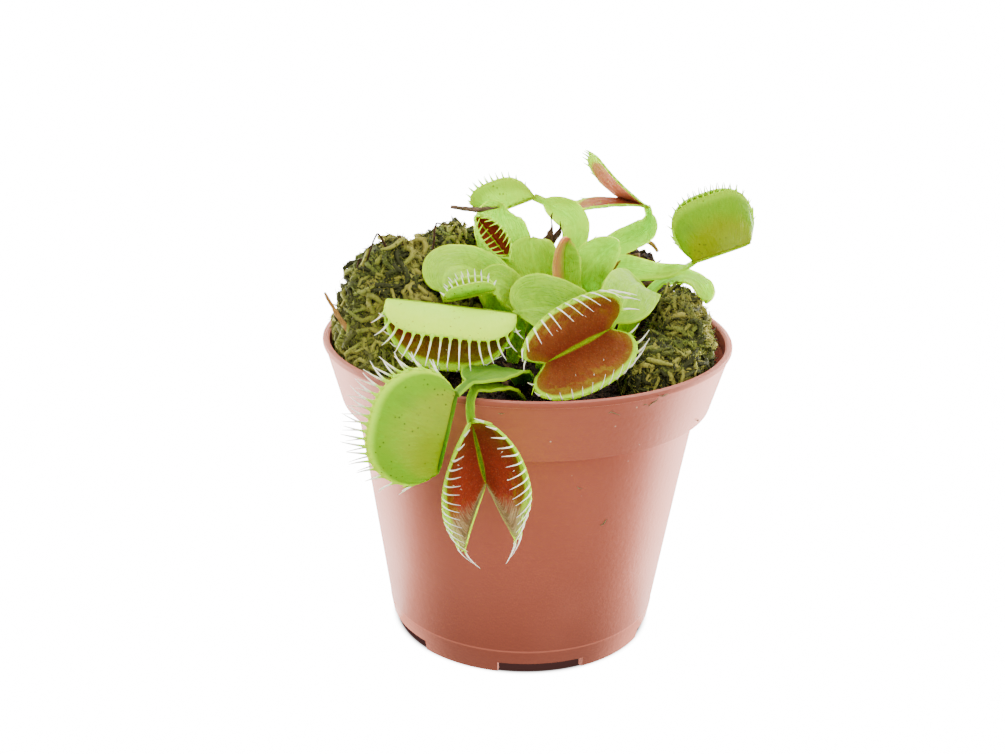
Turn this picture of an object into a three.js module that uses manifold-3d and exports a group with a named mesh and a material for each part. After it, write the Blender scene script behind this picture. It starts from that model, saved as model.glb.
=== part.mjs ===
// Potted Venus flytrap: a plastic nursery pot, its peat, moss cushions and a rosette of leaves.
// Millimetres, +Z up. Every size below is measured from the pot's own axis, with z = 0 where the
// pot stands; the last lines move the whole plant so that its box stands centred on the origin.
import * as THREE from 'three';
import Module from 'manifold-3d';

const wasm = await Module();
wasm.setup();

// ---------------------------------------------------------------- driving dimensions

const GAP = 0.3;                  // clearance kept between pieces that rest on each other

const POT_HEIGHT = 68.8;
const RIM_RADIUS = 45;            // outside of the rolled lip
const BASE_RADIUS = 29.7;
const WALL = 1.2;
const COLLAR_HEIGHT = 14;         // the upright band under the lip
const COLLAR_FOOT_RADIUS = 41.1;
const BODY_TOP_RADIUS = 38;       // tapered body where it meets the collar
const LIP_HEIGHT = 2.4;
const FLOOR_HEIGHT = 3;           // underside of the floor above the table
const POT_SIDES = 48;

const NOTCH_COUNT = 5;            // drainage notches through the foot ring
const NOTCH_HALF_ANGLE = 18.4;
const NOTCH_MIDDLE = 8.5;         // degrees from the front of the first notch
const NOTCH_HEIGHT = 2.6;
const DRAIN_RADIUS = 4;
const DRAIN_CIRCLE = 15;

const PEAT_TOP = 62.5;

const BLADE_THICKNESS = 0.7;
const RIB_THICKNESS = 1.3;        // leaf stalk along its middle
const STALK_HALF_WIDTH = 0.8;
const LOBE_THICKNESS = 0.7;
const TOOTH_SHARE = 0.62;         // of the margin taken up by the roots of its teeth
const BLADE_STEPS = 10;
const LOBE_STEPS = 8;
const LONG_TOOTH = 3;             // shorter ones are plain spikes

// ---------------------------------------------------------------- materials

const material = (color, roughness) =>
  new THREE.MeshStandardMaterial({ color, roughness, metalness: 0 });
const terracottaPlastic = material(0xa55a41, 0.42);
const peatSoil = material(0x2a2019, 0.95);
const cushionMoss = material(0x5d6430, 0.9);
const leafGreen = material(0x8fc63a, 0.45);
const driedLeaf = material(0x6b4a2c, 0.8);
const bark = material(0x4a3424, 0.9);

// ---------------------------------------------------------------- small helpers

const rad = THREE.MathUtils.degToRad;
const vec = (x, y, z) => new THREE.Vector3(x, y, z);
const mix = THREE.MathUtils.lerp;

/** A closed solid from a list of points and a list of triangles. */
function solid(points, triangles) {
  const vertProperties = new Float32Array(points.flatMap((p) => [p.x, p.y, p.z]));
  const triVerts = new Uint32Array(triangles.flat());
  return new wasm.Manifold(new wasm.Mesh({ numProp: 3, vertProperties, triVerts }));
}

/** The solid as a named mesh. */
function piece(name, body, look) {
  const { vertProperties, triVerts, numProp } = body.getMesh();
  const corners = new Float32Array((vertProperties.length / numProp) * 3);
  for (let i = 0; i < corners.length / 3; i++) {
    corners.set(vertProperties.slice(i * numProp, i * numProp + 3), i * 3);
  }
  const geometry = new THREE.BufferGeometry();
  geometry.setAttribute('position', new THREE.BufferAttribute(corners, 3));
  geometry.setIndex(new THREE.BufferAttribute(new Uint32Array(triVerts), 1));
  const mesh = new THREE.Mesh(geometry, look);
  mesh.name = name;
  return mesh;
}

/** Turns a profile of [radius, height] points, whose ends lie on the axis, into a solid. */
function turned(profile, sides) {
  const points = [];
  const rings = profile.map(([radius, z]) => {
    const first = points.length;
    const count = radius > 0 ? sides : 1;
    for (let k = 0; k < count; k++) {
      const angle = (2 * Math.PI * k) / sides;
      points.push(vec(radius * Math.cos(angle), radius * Math.sin(angle), z));
    }
    return { first, count };
  });
  const triangles = [];
  for (let i = 0; i + 1 < rings.length; i++) {
    const [low, high] = [rings[i], rings[i + 1]];
    for (let k = 0; k < sides; k++) {
      const next = (k + 1) % sides;
      const a = low.first + (k % low.count);
      const b = low.first + (next % low.count);
      const c = high.first + (next % high.count);
      const d = high.first + (k % high.count);
      if (low.count > 1) triangles.push([a, b, c]);
      if (high.count > 1) triangles.push([a, c, d]);
    }
  }
  return solid(points, triangles);
}

/** A tapered bar with flat ends along a list of points. */
function bar(path, radii, sides) {
  const points = [];
  const whole = path.at(-1).clone().sub(path[0]).normalize();
  const reference = Math.abs(whole.z) < 0.7 ? vec(0, 0, 1) : vec(0, 1, 0);
  path.forEach((centre, i) => {
    const before = path[Math.max(i - 1, 0)];
    const after = path[Math.min(i + 1, path.length - 1)];
    const along = after.clone().sub(before).normalize();
    const across = reference.clone().cross(along).normalize();
    const up = along.clone().cross(across);
    for (let k = 0; k < sides; k++) {
      const angle = (2 * Math.PI * k) / sides;
      points.push(centre.clone()
        .addScaledVector(across, radii[i] * Math.cos(angle))
        .addScaledVector(up, radii[i] * Math.sin(angle)));
    }
  });
  const triangles = [];
  for (let i = 0; i + 1 < path.length; i++) {
    for (let k = 0; k < sides; k++) {
      const [a, b] = [i * sides + k, i * sides + ((k + 1) % sides)];
      triangles.push([a, b, b + sides], [a, b + sides, a + sides]);
    }
  }
  const last = (path.length - 1) * sides;
  for (let k = 1; k + 1 < sides; k++) {
    triangles.push([0, k + 1, k], [last, last + k, last + k + 1]);
  }
  return solid(points, triangles);
}

/** Two facing points of a sheet's skins, where surface(u, v) is its middle. */
function skin(surface, u, v, thickness) {
  const step = 0.01;
  const alongU = surface(u + step, v).sub(surface(u - step, v));
  const alongV = surface(u, v + step).sub(surface(u, v - step));
  const offset = alongU.cross(alongV).setLength(thickness / 2);
  const centre = surface(u, v);
  return { at: u, front: centre.clone().add(offset), back: centre.clone().sub(offset) };
}

/**
 * A closed sheet made of rows of skin points. Rows may differ in count, and both skins are split
 * into triangles alike. sprout(k, corners) may return the tapering rings and the tip of a tooth
 * that grows from the k-th stretch of the last row.
 */
function sheet(rows, sprout = () => null) {
  const points = [];
  const firsts = rows.map((row) => {
    const first = points.length;
    row.forEach(({ front, back }) => points.push(front, back));
    return first;
  });
  const lasts = rows.map((row, j) => firsts[j] + 2 * (row.length - 1));
  const triangles = [];
  const faces = (a, b, c) => triangles.push([a, b, c], [a + 1, c + 1, b + 1]);
  const wall = (a, b) => triangles.push([a, a + 1, b + 1], [a, b + 1, b]);
  for (let j = 0; j + 1 < rows.length; j++) {
    const [lower, upper] = [rows[j], rows[j + 1]];
    let [i, k] = [0, 0];
    while (i + 1 < lower.length || k + 1 < upper.length) {
      const [a, b] = [firsts[j] + 2 * i, firsts[j + 1] + 2 * k];
      if ((lower[i + 1]?.at ?? Infinity) <= (upper[k + 1]?.at ?? Infinity)) {
        faces(a, a + 2, b);
        i++;
      } else {
        faces(a, b + 2, b);
        k++;
      }
    }
    wall(firsts[j + 1], firsts[j]);
    wall(lasts[j], lasts[j + 1]);
  }
  for (let a = firsts[0]; a < lasts[0]; a += 2) wall(a, a + 2);
  for (let a = firsts.at(-1), k = 0; a < lasts.at(-1); a += 2, k++) {
    let loop = [a, a + 2, a + 3, a + 1];
    const tooth = sprout(k, loop.map((corner) => points[corner]));
    if (!tooth) {
      wall(a + 2, a);
      continue;
    }
    for (const ring of tooth.rings) {
      const next = ring.map((corner) => points.push(corner) - 1);
      for (let m = 0; m < 4; m++) {
        const n = (m + 1) % 4;
        triangles.push([loop[m], loop[n], next[n]], [loop[m], next[n], next[m]]);
      }
      loop = next;
    }
    const tip = points.push(tooth.tip) - 1;
    for (let m = 0; m < 4; m++) triangles.push([loop[m], loop[(m + 1) % 4], tip]);
  }
  return solid(points, triangles);
}

// ---------------------------------------------------------------- pot

const bodyRadius = (z) => mix(BASE_RADIUS, BODY_TOP_RADIUS, z / (POT_HEIGHT - COLLAR_HEIGHT));
const collarFoot = POT_HEIGHT - COLLAR_HEIGHT;
const lipFoot = POT_HEIGHT - LIP_HEIGHT;
const floorTop = FLOOR_HEIGHT + WALL;
const collarTopRadius = RIM_RADIUS - 0.9;
const innerLipRadius = RIM_RADIUS - 2.3;
const stepHeight = collarFoot + WALL;        // inside, where the collar widens
const insideRadius = COLLAR_FOOT_RADIUS - WALL;

function pot() {
  const footInner = BASE_RADIUS - WALL - 0.3;
  const shell = turned([
    [0, FLOOR_HEIGHT],
    [footInner, FLOOR_HEIGHT],
    [footInner, 0],
    [BASE_RADIUS, 0],
    [BODY_TOP_RADIUS, collarFoot],
    [COLLAR_FOOT_RADIUS - 0.3, collarFoot],
    [COLLAR_FOOT_RADIUS, collarFoot + 0.3],
    [collarTopRadius, lipFoot],
    [RIM_RADIUS, lipFoot + 0.6],
    [RIM_RADIUS, POT_HEIGHT - 0.7],
    [RIM_RADIUS - 0.7, POT_HEIGHT],
    [innerLipRadius + 0.6, POT_HEIGHT],
    [innerLipRadius, POT_HEIGHT - 0.6],
    [insideRadius, stepHeight],
    [BODY_TOP_RADIUS - WALL, stepHeight - 1],
    [bodyRadius(floorTop) - WALL, floorTop],
    [0, floorTop],
  ], POT_SIDES);
  const cuts = [];
  for (let k = 0; k < NOTCH_COUNT; k++) {
    const middle = NOTCH_MIDDLE + (k * 360) / NOTCH_COUNT;
    cuts.push(notch(middle));
    cuts.push(drainHole(middle));
  }
  return shell.subtract(wasm.Manifold.union(cuts));
}

/** The wedge of air that a drainage notch leaves in the foot ring. */
function notch(middle) {
  const corners = [];
  for (const z of [-1, NOTCH_HEIGHT]) {
    for (const [radius, turn] of [[24, -1], [34, -1], [34, 1], [24, 1]]) {
      const angle = rad(middle - 90 + turn * NOTCH_HALF_ANGLE);
      corners.push(vec(radius * Math.cos(angle), radius * Math.sin(angle), z));
    }
  }
  return solid(corners, [
    [0, 2, 1], [0, 3, 2], [4, 5, 6], [4, 6, 7],
    [0, 1, 5], [0, 5, 4], [1, 2, 6], [1, 6, 5],
    [2, 3, 7], [2, 7, 6], [3, 0, 4], [3, 4, 7],
  ]);
}

function drainHole(middle) {
  const angle = rad(middle - 90);
  const [x, y] = [DRAIN_CIRCLE * Math.cos(angle), DRAIN_CIRCLE * Math.sin(angle)];
  return bar([vec(x, y, 1), vec(x, y, 6)], [DRAIN_RADIUS, DRAIN_RADIUS], 10);
}

// ---------------------------------------------------------------- peat and moss

/** A smooth repeatable unevenness between -1 and 1. */
const uneven = (x, y, size, seed) =>
  (Math.sin(x / size + seed) * Math.cos(y / size - 1.7 * seed)
    + Math.sin((x + y) / (0.7 * size) + 2.3 * seed) * Math.cos((x - y) / (0.8 * size) + seed)) / 2;

/** A closed lump over an oval, with a flat underside; the top is height(fraction, x, y). */
function lump({ centre, radii, turn = 0, foot, height, rings, sectors, edge = () => 1 }) {
  const points = [];
  const place = (fraction, angle, level) => {
    const reach = fraction * edge(angle);
    const flat = vec(radii[0] * reach * Math.cos(angle), radii[1] * reach * Math.sin(angle), 0);
    flat.applyAxisAngle(vec(0, 0, 1), turn).add(vec(...centre, 0));
    flat.clampLength(0, insideRadius + 0.7);
    return flat.setZ(level(fraction, flat.x, flat.y));
  };
  points.push(place(0, 0, () => foot), place(0, 0, height));
  const ring = (fraction, level) => {
    const first = points.length;
    for (let k = 0; k < sectors; k++) {
      points.push(place(fraction, (2 * Math.PI * k) / sectors, level));
    }
    return first;
  };
  const under = ring(1, () => foot);
  const tops = [];
  for (let i = rings; i > 0; i--) tops.push(ring(i / rings, height));
  const triangles = [];
  for (let k = 0; k < sectors; k++) {
    const next = (k + 1) % sectors;
    triangles.push([0, under + next, under + k]);
    let below = under;
    for (const above of tops) {
      triangles.push([below + k, below + next, above + next], [below + k, above + next, above + k]);
      below = above;
    }
    triangles.push([below + k, below + next, 1]);
  }
  return solid(points, triangles);
}

/** A cushion: steep sides, a rounded back and a knobbly skin, on a flat foot. */
function cushion({ centre, radii, turn = 0, tall, seed, foot = PEAT_TOP + GAP }) {
  return lump({
    centre,
    radii,
    turn,
    foot,
    height: (fraction, x, y) => foot + 1.5 + (tall - 1.5) * Math.sqrt(1 - fraction ** 3)
      + 1.3 * uneven(x, y, 2.4, seed) * (1 - fraction ** 6),
    rings: 6,
    sectors: 22,
    edge: (angle) => 1 + 0.05 * Math.sin(5 * angle + seed) + 0.03 * Math.sin(9 * angle - seed),
  });
}

const CUSHIONS = {
  moss_left: [
    { centre: [-28.7, -4.5], radii: [12.3, 17.5], turn: 0.1, tall: 26, seed: 1 },
    { centre: [-17.5, 21.5], radii: [15, 12], turn: -0.4, tall: 23, seed: 4 },
    { centre: [-28, -22], radii: [9.5, 8], turn: 0.7, tall: 8, seed: 2 },
  ],
  moss_right: [
    { centre: [34.6, -3], radii: [6.8, 15], turn: 0.05, tall: 14.8, seed: 7 },
    { centre: [29, -19.5], radii: [8.5, 10], turn: -0.7, tall: 8.5, seed: 3 },
  ],
};
const PEAT_HEAP = { centre: [19, 27], radii: [17.5, 10], foot: PEAT_TOP - 1.5, tall: 20.5, seed: 5 };

// Dry litter: a twig at the left, a stick and a curled dead leaf at the back, each stuck in a
// cushion. The first point of each path is buried.
const LITTER = {
  twig: { path: [[-36, -16, 71], [-39.5, -15.5, 75.5], [-43, -12.5, 80.4]], radii: [0.6, 0.55, 0.35] },
  bark_stick: { path: [[22, 20, 73], [27, 14.8, 76], [32.4, 12.3, 76.4]], radii: [0.8, 0.9, 0.6] },
  dead_leaf: {
    path: [[21.5, 27, 77], [23.5, 24.5, 81.5], [27, 25, 83.6], [30.5, 23.5, 81.5]],
    radii: [0.5, 0.7, 0.8, 0.4],
  },
};
function litterBar({ path, radii }, spare = 0) {
  const points = path.map((p) => vec(...p));
  points[0].addScaledVector(points[0].clone().sub(points[1]).normalize(), 1.2 * spare);
  return bar(points, radii.map((radius) => 1.3 * spare + radius), 5);
}
/** The room that the litter takes up in the cushion it is stuck in. */
const litterRoom = (...names) => wasm.Manifold.union(names.map((name) => litterBar(LITTER[name], GAP)));
const moss = (lumps, room) => wasm.Manifold.union(lumps.map(cushion)).subtract(room);

/** The peat that fills the pot, heaped up at the back, with a hole for every leaf. */
function peat(holes) {
  const filling = turned([
    [0, floorTop + GAP],
    [bodyRadius(floorTop) - WALL - GAP, floorTop + GAP],
    [BODY_TOP_RADIUS - WALL - GAP, stepHeight - 0.7],
    [insideRadius - GAP, stepHeight + 0.35],
    [insideRadius + 1.1, PEAT_TOP],
    [28, PEAT_TOP - 0.6],
    [19, PEAT_TOP - 0.1],
    [9, PEAT_TOP - 0.7],
    [0, PEAT_TOP],
  ], POT_SIDES / 2);
  return filling.add(cushion(PEAT_HEAP)).subtract(wasm.Manifold.union(holes));
}

// ---------------------------------------------------------------- leaves
// Each leaf is a flat winged stalk, most of them ending in a trap. `path` is the middle of the
// stalk: its base, two points on the way and its end. `up` faces the upper side. A trap hangs on
// its hinge, which starts at the stalk's end; `mouth` is the way it opens, `gape` the angle
// between its lobes, `deep` their depth, `flare` how far they widen and `lean` how far they
// slant to the tip, and `drop` how much shorter they are at their two ends than in the middle.

const LEAVES = [
  {
    name: 'leaf_lying_trap',
    path: [[12, -5, 58], [12.5, -11, 73], [4, -17, 79], [-3, -23, 79.5]],
    up: [0.1, -0.75, 0.65], width: 15.5, fold: 6, widest: 0.66,
    trap: {
      hinge: [-1, 0.02, 0.1], mouth: [0, -0.88, -0.44], long: 26, deep: 13.5, gape: 34,
      bulge: 28, flare: 0.12, drop: 0.62, teeth: 16, tooth: 7, inward: 10,
      first: { inward: 75, tooth: 4, deep: 12.2 },
    },
  },
  {
    name: 'leaf_left_hanging',
    path: [[-2, -12, 58], [-2, -22, 66.5], [-7.5, -35.5, 71.6], [-14, -48.5, 71.5]],
    up: [-0.1, -0.3, 0.9], width: 9, fold: 3, wave: 0.3, widest: 0.66, end: 0.86,
    trap: {
      hinge: [-3.2, -2, -14.6], mouth: [-1, 0.15, 0.1], long: 15.5, deep: 15.5, gape: 30,
      bulge: 28, flare: 0.5, drop: 0.62, lean: 0.03, teeth: 20, tooth: 7,
    },
  },
  {
    name: 'leaf_front_hanging',
    path: [[-0.5, -21, 58], [-4, -28, 65], [-9.5, -39, 70.15], [-11, -47.5, 65.6]],
    up: [0, -0.25, 1], width: 9, fold: 3, wave: 0.2, widest: 0.55, end: 0.76,
    trap: {
      hinge: [2.8, 1, -12], mouth: [0.05, -0.88, -0.1], long: 13, deep: 12, gape: 88,
      bulge: 20, flare: 0.7, drop: 0.4, square: 3, lean: 0.42, teeth: 16, tooth: 6.5, inward: 70,
      first: { flare: 1.15, lean: 0.3, deep: 12.5 },
      second: { flare: 0.9, lean: 0.36, splay: 9 },
    },
  },
  {
    name: 'leaf_centre_open',
    path: [[18, 0, 58], [24, 1, 77], [22, -9, 81.5], [16.5, -20, 76]],
    up: [0.3, -0.5, 0.8], width: 14, fold: 6,
    trap: {
      hinge: [-13.3, -10, -4.2], mouth: [0.36, -0.67, 0.4], long: 17, deep: 12.5, gape: 94,
      bulge: 20, flare: 0.6, drop: 0.5, teeth: 16, tooth: 6, inward: 60,
      first: { lean: 0.24 },
      second: { lean: 0.16 },
    },
  },
  {
    name: 'leaf_right_upright',
    path: [[19, 11.5, 58], [18, 11, 79], [26, 9.5, 80.5], [35.5, -4, 86.5]],
    up: [0, -0.7, 0.7], width: 6, fold: 10, widest: 0.5,
    trap: {
      hinge: [12, 2, 4], mouth: [-0.3, 0, 0.95], long: 12.5, deep: 14, gape: 25,
      bulge: 30, flare: 0.5, drop: 0.45, square: 3, lean: -0.05, teeth: 18, tooth: 2.5,
    },
  },
  {
    name: 'leaf_top_open',
    path: [[13.5, 15, 58], [15.5, 15.5, 80.5], [24.5, 18.5, 86.5], [27, 20, 93]],
    up: [0.1, -0.9, 0.2], width: 6, fold: 10, widest: 0.6,
    trap: {
      hinge: [-4.4, 10.8, -0.9], mouth: [-0.85, -0.36, 0.38], long: 12, deep: 16, gape: 50,
      bulge: -4, flare: 0.3, drop: 0.6, teeth: 14, tooth: 2.5, inward: 30,
    },
  },
  {
    name: 'leaf_back_left',
    path: [[9, 9, 58], [10.5, 10, 82], [11, 12, 91], [1, 16, 95.5]],
    up: [0, -0.9, 0.3], width: 9, fold: 6,
    trap: {
      hinge: [-11, 0, -4.5], mouth: [-0.7, 0.1, 0.75], long: 11.5, deep: 7, gape: 25,
      bulge: 25, flare: 0.3, drop: 0.4, lean: 0.2, teeth: 12, tooth: 2.5,
    },
  },
  {
    name: 'leaf_small_striped',
    path: [[3, 0.5, 58], [2.5, 2.5, 71], [-3.3, 4.5, 80], [-5.1, 5.3, 84.5]],
    up: [0, -0.6, 0.7], width: 4, fold: 8, widest: 0.6,
    trap: {
      hinge: [-0.62, 0, 0.78], mouth: [0.1, -0.9, 0.3], long: 11, deep: 5.5, gape: 60,
      bulge: 25, flare: 0.1, drop: 0.6, teeth: 11, tooth: 3.5, inward: 60,
    },
  },
  {
    name: 'leaf_small_young',
    path: [[-4, -1, 58], [-5.5, -3.5, 77], [-14.5, -9, 85.3], [-17, -20, 81.5]],
    up: [-0.1, -0.6, 0.7], width: 13, fold: 6, widest: 0.6,
    trap: {
      hinge: [1, 0, 0.25], mouth: [0, -0.3, 0.9], long: 10, deep: 4, gape: 40,
      bulge: 20, flare: 0.2, drop: 0.7, teeth: 10, tooth: 2.5,
    },
  },
  {
    name: 'leaf_front_left',
    path: [[2, -6, 58], [2.5, -7.5, 72], [-4, -12, 81.5], [-9, -14, 82.5]],
    up: [0, -0.6, 0.7], width: 9.5, fold: 6, widest: 0.7,
  },
  {
    name: 'leaf_upright_centre',
    path: [[6, 5, 58], [5, 6, 69], [2, 7, 80.5], [0.5, 8, 88]],
    up: [0, -0.9, 0.3], width: 10.5, fold: 8, widest: 0.8,
  },
  {
    name: 'leaf_withered_tip',
    path: [[0, 8, 58], [1, 10, 72], [-5, 11.5, 85], [-6, 11.5, 94.8]],
    up: [0, -0.9, 0.4], width: 12, fold: 8, widest: 0.7,
    witheredTrap: [[-6.5, 11.5, 94], [-12, 10.5, 93.6], [-17.5, 9.5, 94.2]],
  },
  {
    name: 'leaf_forked',
    path: [[14, 4.5, 58], [13, 4, 74], [13.5, 4, 82], [19.5, 3, 89]],
    up: [0, -0.8, 0.4], width: 10, fold: 8, widest: 0.6,
  },
  {
    name: 'leaf_young_rolled',
    path: [[9, -2.5, 58], [9, -2, 70], [7.5, -1, 82.5], [8.5, 0, 90]],
    up: [0.3, -0.9, 0.3], width: 8, fold: 40, widest: 0.6,
  },
  {
    name: 'leaf_right_arched',
    path: [[21.5, 8.5, 58], [28.5, 8, 76.5], [36, 3, 80.5], [38.5, -4, 77.5]],
    up: [0, -0.3, 0.9], width: 6, fold: 10, widest: 0.5,
  },
  {
    name: 'leaf_shaded_front',
    path: [[9, -14, 58], [8, -18, 63.5], [6, -26, 66], [4, -32, 65]],
    up: [0, -0.6, 0.7], width: 9, fold: 4, wave: 0.3,
  },
];

const STALK = { fold: 15, wave: 0.5, widest: 0.72, foot: 1.1 };
const TRAP = { square: 2.6, lean: 0, splay: 0, cup: 12, inward: 20 };
const ACROSS = [-1, -0.55, 0, 0.55, 1];
const steps = (count) => Array.from({ length: count + 1 }, (_, i) => i / count);

/** The curve through a base, two points a third of the way apart, and an end. */
function throughPoints(path) {
  const [p0, q1, q2, p3] = path.map((p) => vec(...p));
  const control = (a, b, c, d) => a.clone().multiplyScalar(-5).addScaledVector(b, 18)
    .addScaledVector(c, -9).addScaledVector(d, 2).divideScalar(6);
  return new THREE.CubicBezierCurve3(p0, control(p0, q1, q2, p3), control(p3, q2, q1, p0), p3);
}

/** Half the stalk's width: a narrow foot, broad shoulders near the trap, then the bare stalk. */
function halfWidth(leaf, t) {
  const full = leaf.width / 2;
  const end = leaf.end ?? (leaf.trap ? 0.95 : 1);
  const rise = leaf.foot + (full - leaf.foot)
    * Math.sin((Math.PI / 2) * THREE.MathUtils.clamp(t / leaf.widest, 0, 1)) ** 1.6;
  const past = THREE.MathUtils.clamp((t - leaf.widest) / (end - leaf.widest), 0, 1);
  return Math.max(rise * Math.sqrt(1 - past ** 2.6), leaf.trap ? STALK_HALF_WIDTH : 0.3);
}

/** The winged stalk: t runs from its base to its end, w from one edge to the other. */
function wingedStalk(leaf) {
  const curve = throughPoints(leaf.path);
  const facing = vec(...leaf.up).normalize();
  const fold = rad(leaf.fold);
  const surface = (t, w) => {
    const along = curve.getTangent(THREE.MathUtils.clamp(t, 0, 1));
    const normal = facing.clone().addScaledVector(along, -facing.dot(along)).normalize();
    const across = along.clone().cross(normal);
    const half = halfWidth(leaf, t);
    const ripple = leaf.wave * w * w * Math.min(half / 3, 1)
      * Math.sin(5 * Math.PI * t + (w < 0 ? 0 : 1.9));
    return curve.getPoint(t)
      .addScaledVector(across, w * half * Math.cos(fold))
      .addScaledVector(normal, Math.abs(w) * half * Math.sin(fold) + ripple);
  };
  const stations = steps(BLADE_STEPS).map((s) => 1 - (1 - s) ** 1.3);
  return sheet(ACROSS.map((w) => stations.map((t) =>
    skin(surface, t, w, w === 0 ? RIB_THICKNESS : BLADE_THICKNESS))));
}

/** The trap's own axes: along the hinge, out of the mouth, and square to both. */
function trapAxes(trap) {
  const along = vec(...trap.hinge).normalize();
  const out = vec(...trap.mouth);
  out.addScaledVector(along, -out.dot(along)).normalize();
  return { along, out, side: along.clone().cross(out) };
}

/** A lobe's middle surface: u runs along the hinge from -1 to 1, v from it to the margin. */
const lobeSurface = (start, axes, lobe, sign) => (u, v) => {
  const bulge = rad(lobe.bulge);
  const angle = rad(lobe.gape) / 2 - rad(lobe.cup) * u * u + rad(lobe.splay) * u;
  const depth = lobe.deep * (1 - lobe.drop * Math.abs(u) ** lobe.square);
  const bend = angle + bulge * (1 - 2 * v);
  const outward = (Math.sin(angle + bulge) - Math.sin(bend)) / (2 * bulge);
  const sideways = (Math.cos(bend) - Math.cos(angle + bulge)) / (2 * bulge);
  return start.clone()
    .addScaledVector(axes.along, lobe.long * (0.5 + 0.5 * u * (1 + lobe.flare * v) + lobe.lean * v))
    .addScaledVector(axes.out, outward * depth)
    .addScaledVector(axes.side, sign * sideways * depth);
};

/** A lobe whose margin carries a row of teeth, bent in towards the other lobe. */
function toothedLobe(start, axes, lobe, sign) {
  const surface = lobeSurface(start, axes, lobe, sign);
  const count = lobe.teeth;
  const centres = steps(count - 1).map((s) => (2 * s - 1) * (1 - 1 / count));
  const margin = centres.flatMap((u) => [u - TOOTH_SHARE / count, u + TOOTH_SHARE / count]);
  const rows = steps(lobe.deep > 10 ? 3 : 2).map((v) => {
    const stations = v < 1 ? steps(LOBE_STEPS).map((s) => 2 * s - 1) : [-1, ...margin, 1];
    return stations.map((u) => skin(surface, u, v, LOBE_THICKNESS));
  });
  const turnIn = rad(lobe.gape / 2 - lobe.bulge - lobe.inward);
  return sheet(rows, (k, corners) => {
    if (k % 2 === 0) return null;
    const u = centres[(k - 1) / 2];
    const root = surface(u, 1);
    const straight = root.clone().sub(surface(u, 0.9)).normalize();
    const aim = axes.out.clone().multiplyScalar(Math.cos(turnIn))
      .addScaledVector(axes.side, sign * Math.sin(turnIn))
      .addScaledVector(axes.along, 0.5 * u * (1 + Math.abs(u))).normalize();
    const length = lobe.tooth * (1 - 0.45 * u * u);
    if (lobe.tooth < LONG_TOOTH) {
      return { rings: [], tip: root.clone().addScaledVector(straight.add(aim), length / 2) };
    }
    const waist = root.clone().addScaledVector(straight, 0.18 * length)
      .addScaledVector(aim, 0.32 * length);
    const ring = corners.map((corner) => corner.clone().sub(root).multiplyScalar(0.5).add(waist));
    return { rings: [ring], tip: waist.clone().addScaledVector(aim, 0.5 * length) };
  });
}

function trapParts(start, trap) {
  const axes = trapAxes(trap);
  const hinge = [-0.8, trap.long + 0.2].map((x) => start.clone().addScaledVector(axes.along, x));
  return [
    bar(hinge, [0.75, 0.6], 6),
    toothedLobe(start, axes, { ...TRAP, ...trap, ...trap.first }, -1),
    toothedLobe(start, axes, { ...TRAP, ...trap, ...trap.second }, 1),
  ];
}

function grow(leaf) {
  const parts = [wingedStalk(leaf)];
  if (leaf.trap) parts.push(...trapParts(vec(...leaf.path[3]), leaf.trap));
  if (leaf.witheredTrap) parts.push(bar(leaf.witheredTrap.map((p) => vec(...p)), [0.5, 0.9, 0.4], 5));
  // the outer shell alone, so that no hollow stays sealed between the lobes at the hinge
  const shells = wasm.Manifold.union(parts).decompose();
  return shells.reduce((most, shell) => (shell.volume() > most.volume() ? shell : most));
}

/** The hole in the peat that a leaf's base stands in, a little wider than the leaf. */
function rootHole(leaf) {
  const curve = throughPoints(leaf.path);
  let out = 0.04;
  while (curve.getPoint(out).z < PEAT_TOP + 2.5) out += 0.02;
  const stations = steps(3).map((s) => s * out);
  const path = stations.map((t) => curve.getPoint(t));
  path[0].addScaledVector(curve.getTangent(0), -GAP - 0.05);
  return bar(path, stations.map((t) => 1.25 * (halfWidth(leaf, t) + GAP + 0.55)), 6);
}

// ---------------------------------------------------------------- whole plant

const leaves = LEAVES.map((leaf) => ({ ...STALK, ...leaf }));
const plant = new THREE.Group();
plant.add(piece('pot', pot(), terracottaPlastic));
const stuckInPeat = litterRoom('bark_stick', 'dead_leaf');
plant.add(piece('peat', peat([...leaves.map(rootHole), stuckInPeat]), peatSoil));
plant.add(piece('moss_left', moss(CUSHIONS.moss_left, litterRoom('twig')), cushionMoss));
plant.add(piece('moss_right', moss(CUSHIONS.moss_right, litterRoom('bark_stick')), cushionMoss));
for (const [name, shape] of Object.entries(LITTER)) {
  plant.add(piece(name, litterBar(shape), name === 'dead_leaf' ? driedLeaf : bark));
}
for (const leaf of leaves) {
  plant.add(piece(leaf.name, grow(leaf), leafGreen));
}

const box = new THREE.Box3().setFromObject(plant);
const middle = box.getCenter(vec(0, 0, 0));
plant.position.set(-middle.x, -middle.y, -box.min.z);

export default plant;
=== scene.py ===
"""Potted Venus flytrap: pot, peat, moss and leaves, built over the part's own frame."""

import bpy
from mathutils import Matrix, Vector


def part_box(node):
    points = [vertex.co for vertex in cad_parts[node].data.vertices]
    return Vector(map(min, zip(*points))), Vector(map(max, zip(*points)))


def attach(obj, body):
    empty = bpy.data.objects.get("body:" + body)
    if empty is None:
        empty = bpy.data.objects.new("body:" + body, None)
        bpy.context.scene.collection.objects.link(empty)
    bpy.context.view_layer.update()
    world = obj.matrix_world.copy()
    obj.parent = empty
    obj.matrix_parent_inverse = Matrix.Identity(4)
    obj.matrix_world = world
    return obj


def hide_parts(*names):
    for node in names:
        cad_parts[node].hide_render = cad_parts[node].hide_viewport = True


bl_info = {
    "name": "Potted Venus flytrap",
    "version": (1, 0, 0),
    "blender": (4, 5, 0),
    "location": "3D View > Sidebar > Flytrap",
    "description": "Builds a potted Venus flytrap piece by piece",
    "category": "Add Mesh",
}

import math

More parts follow.
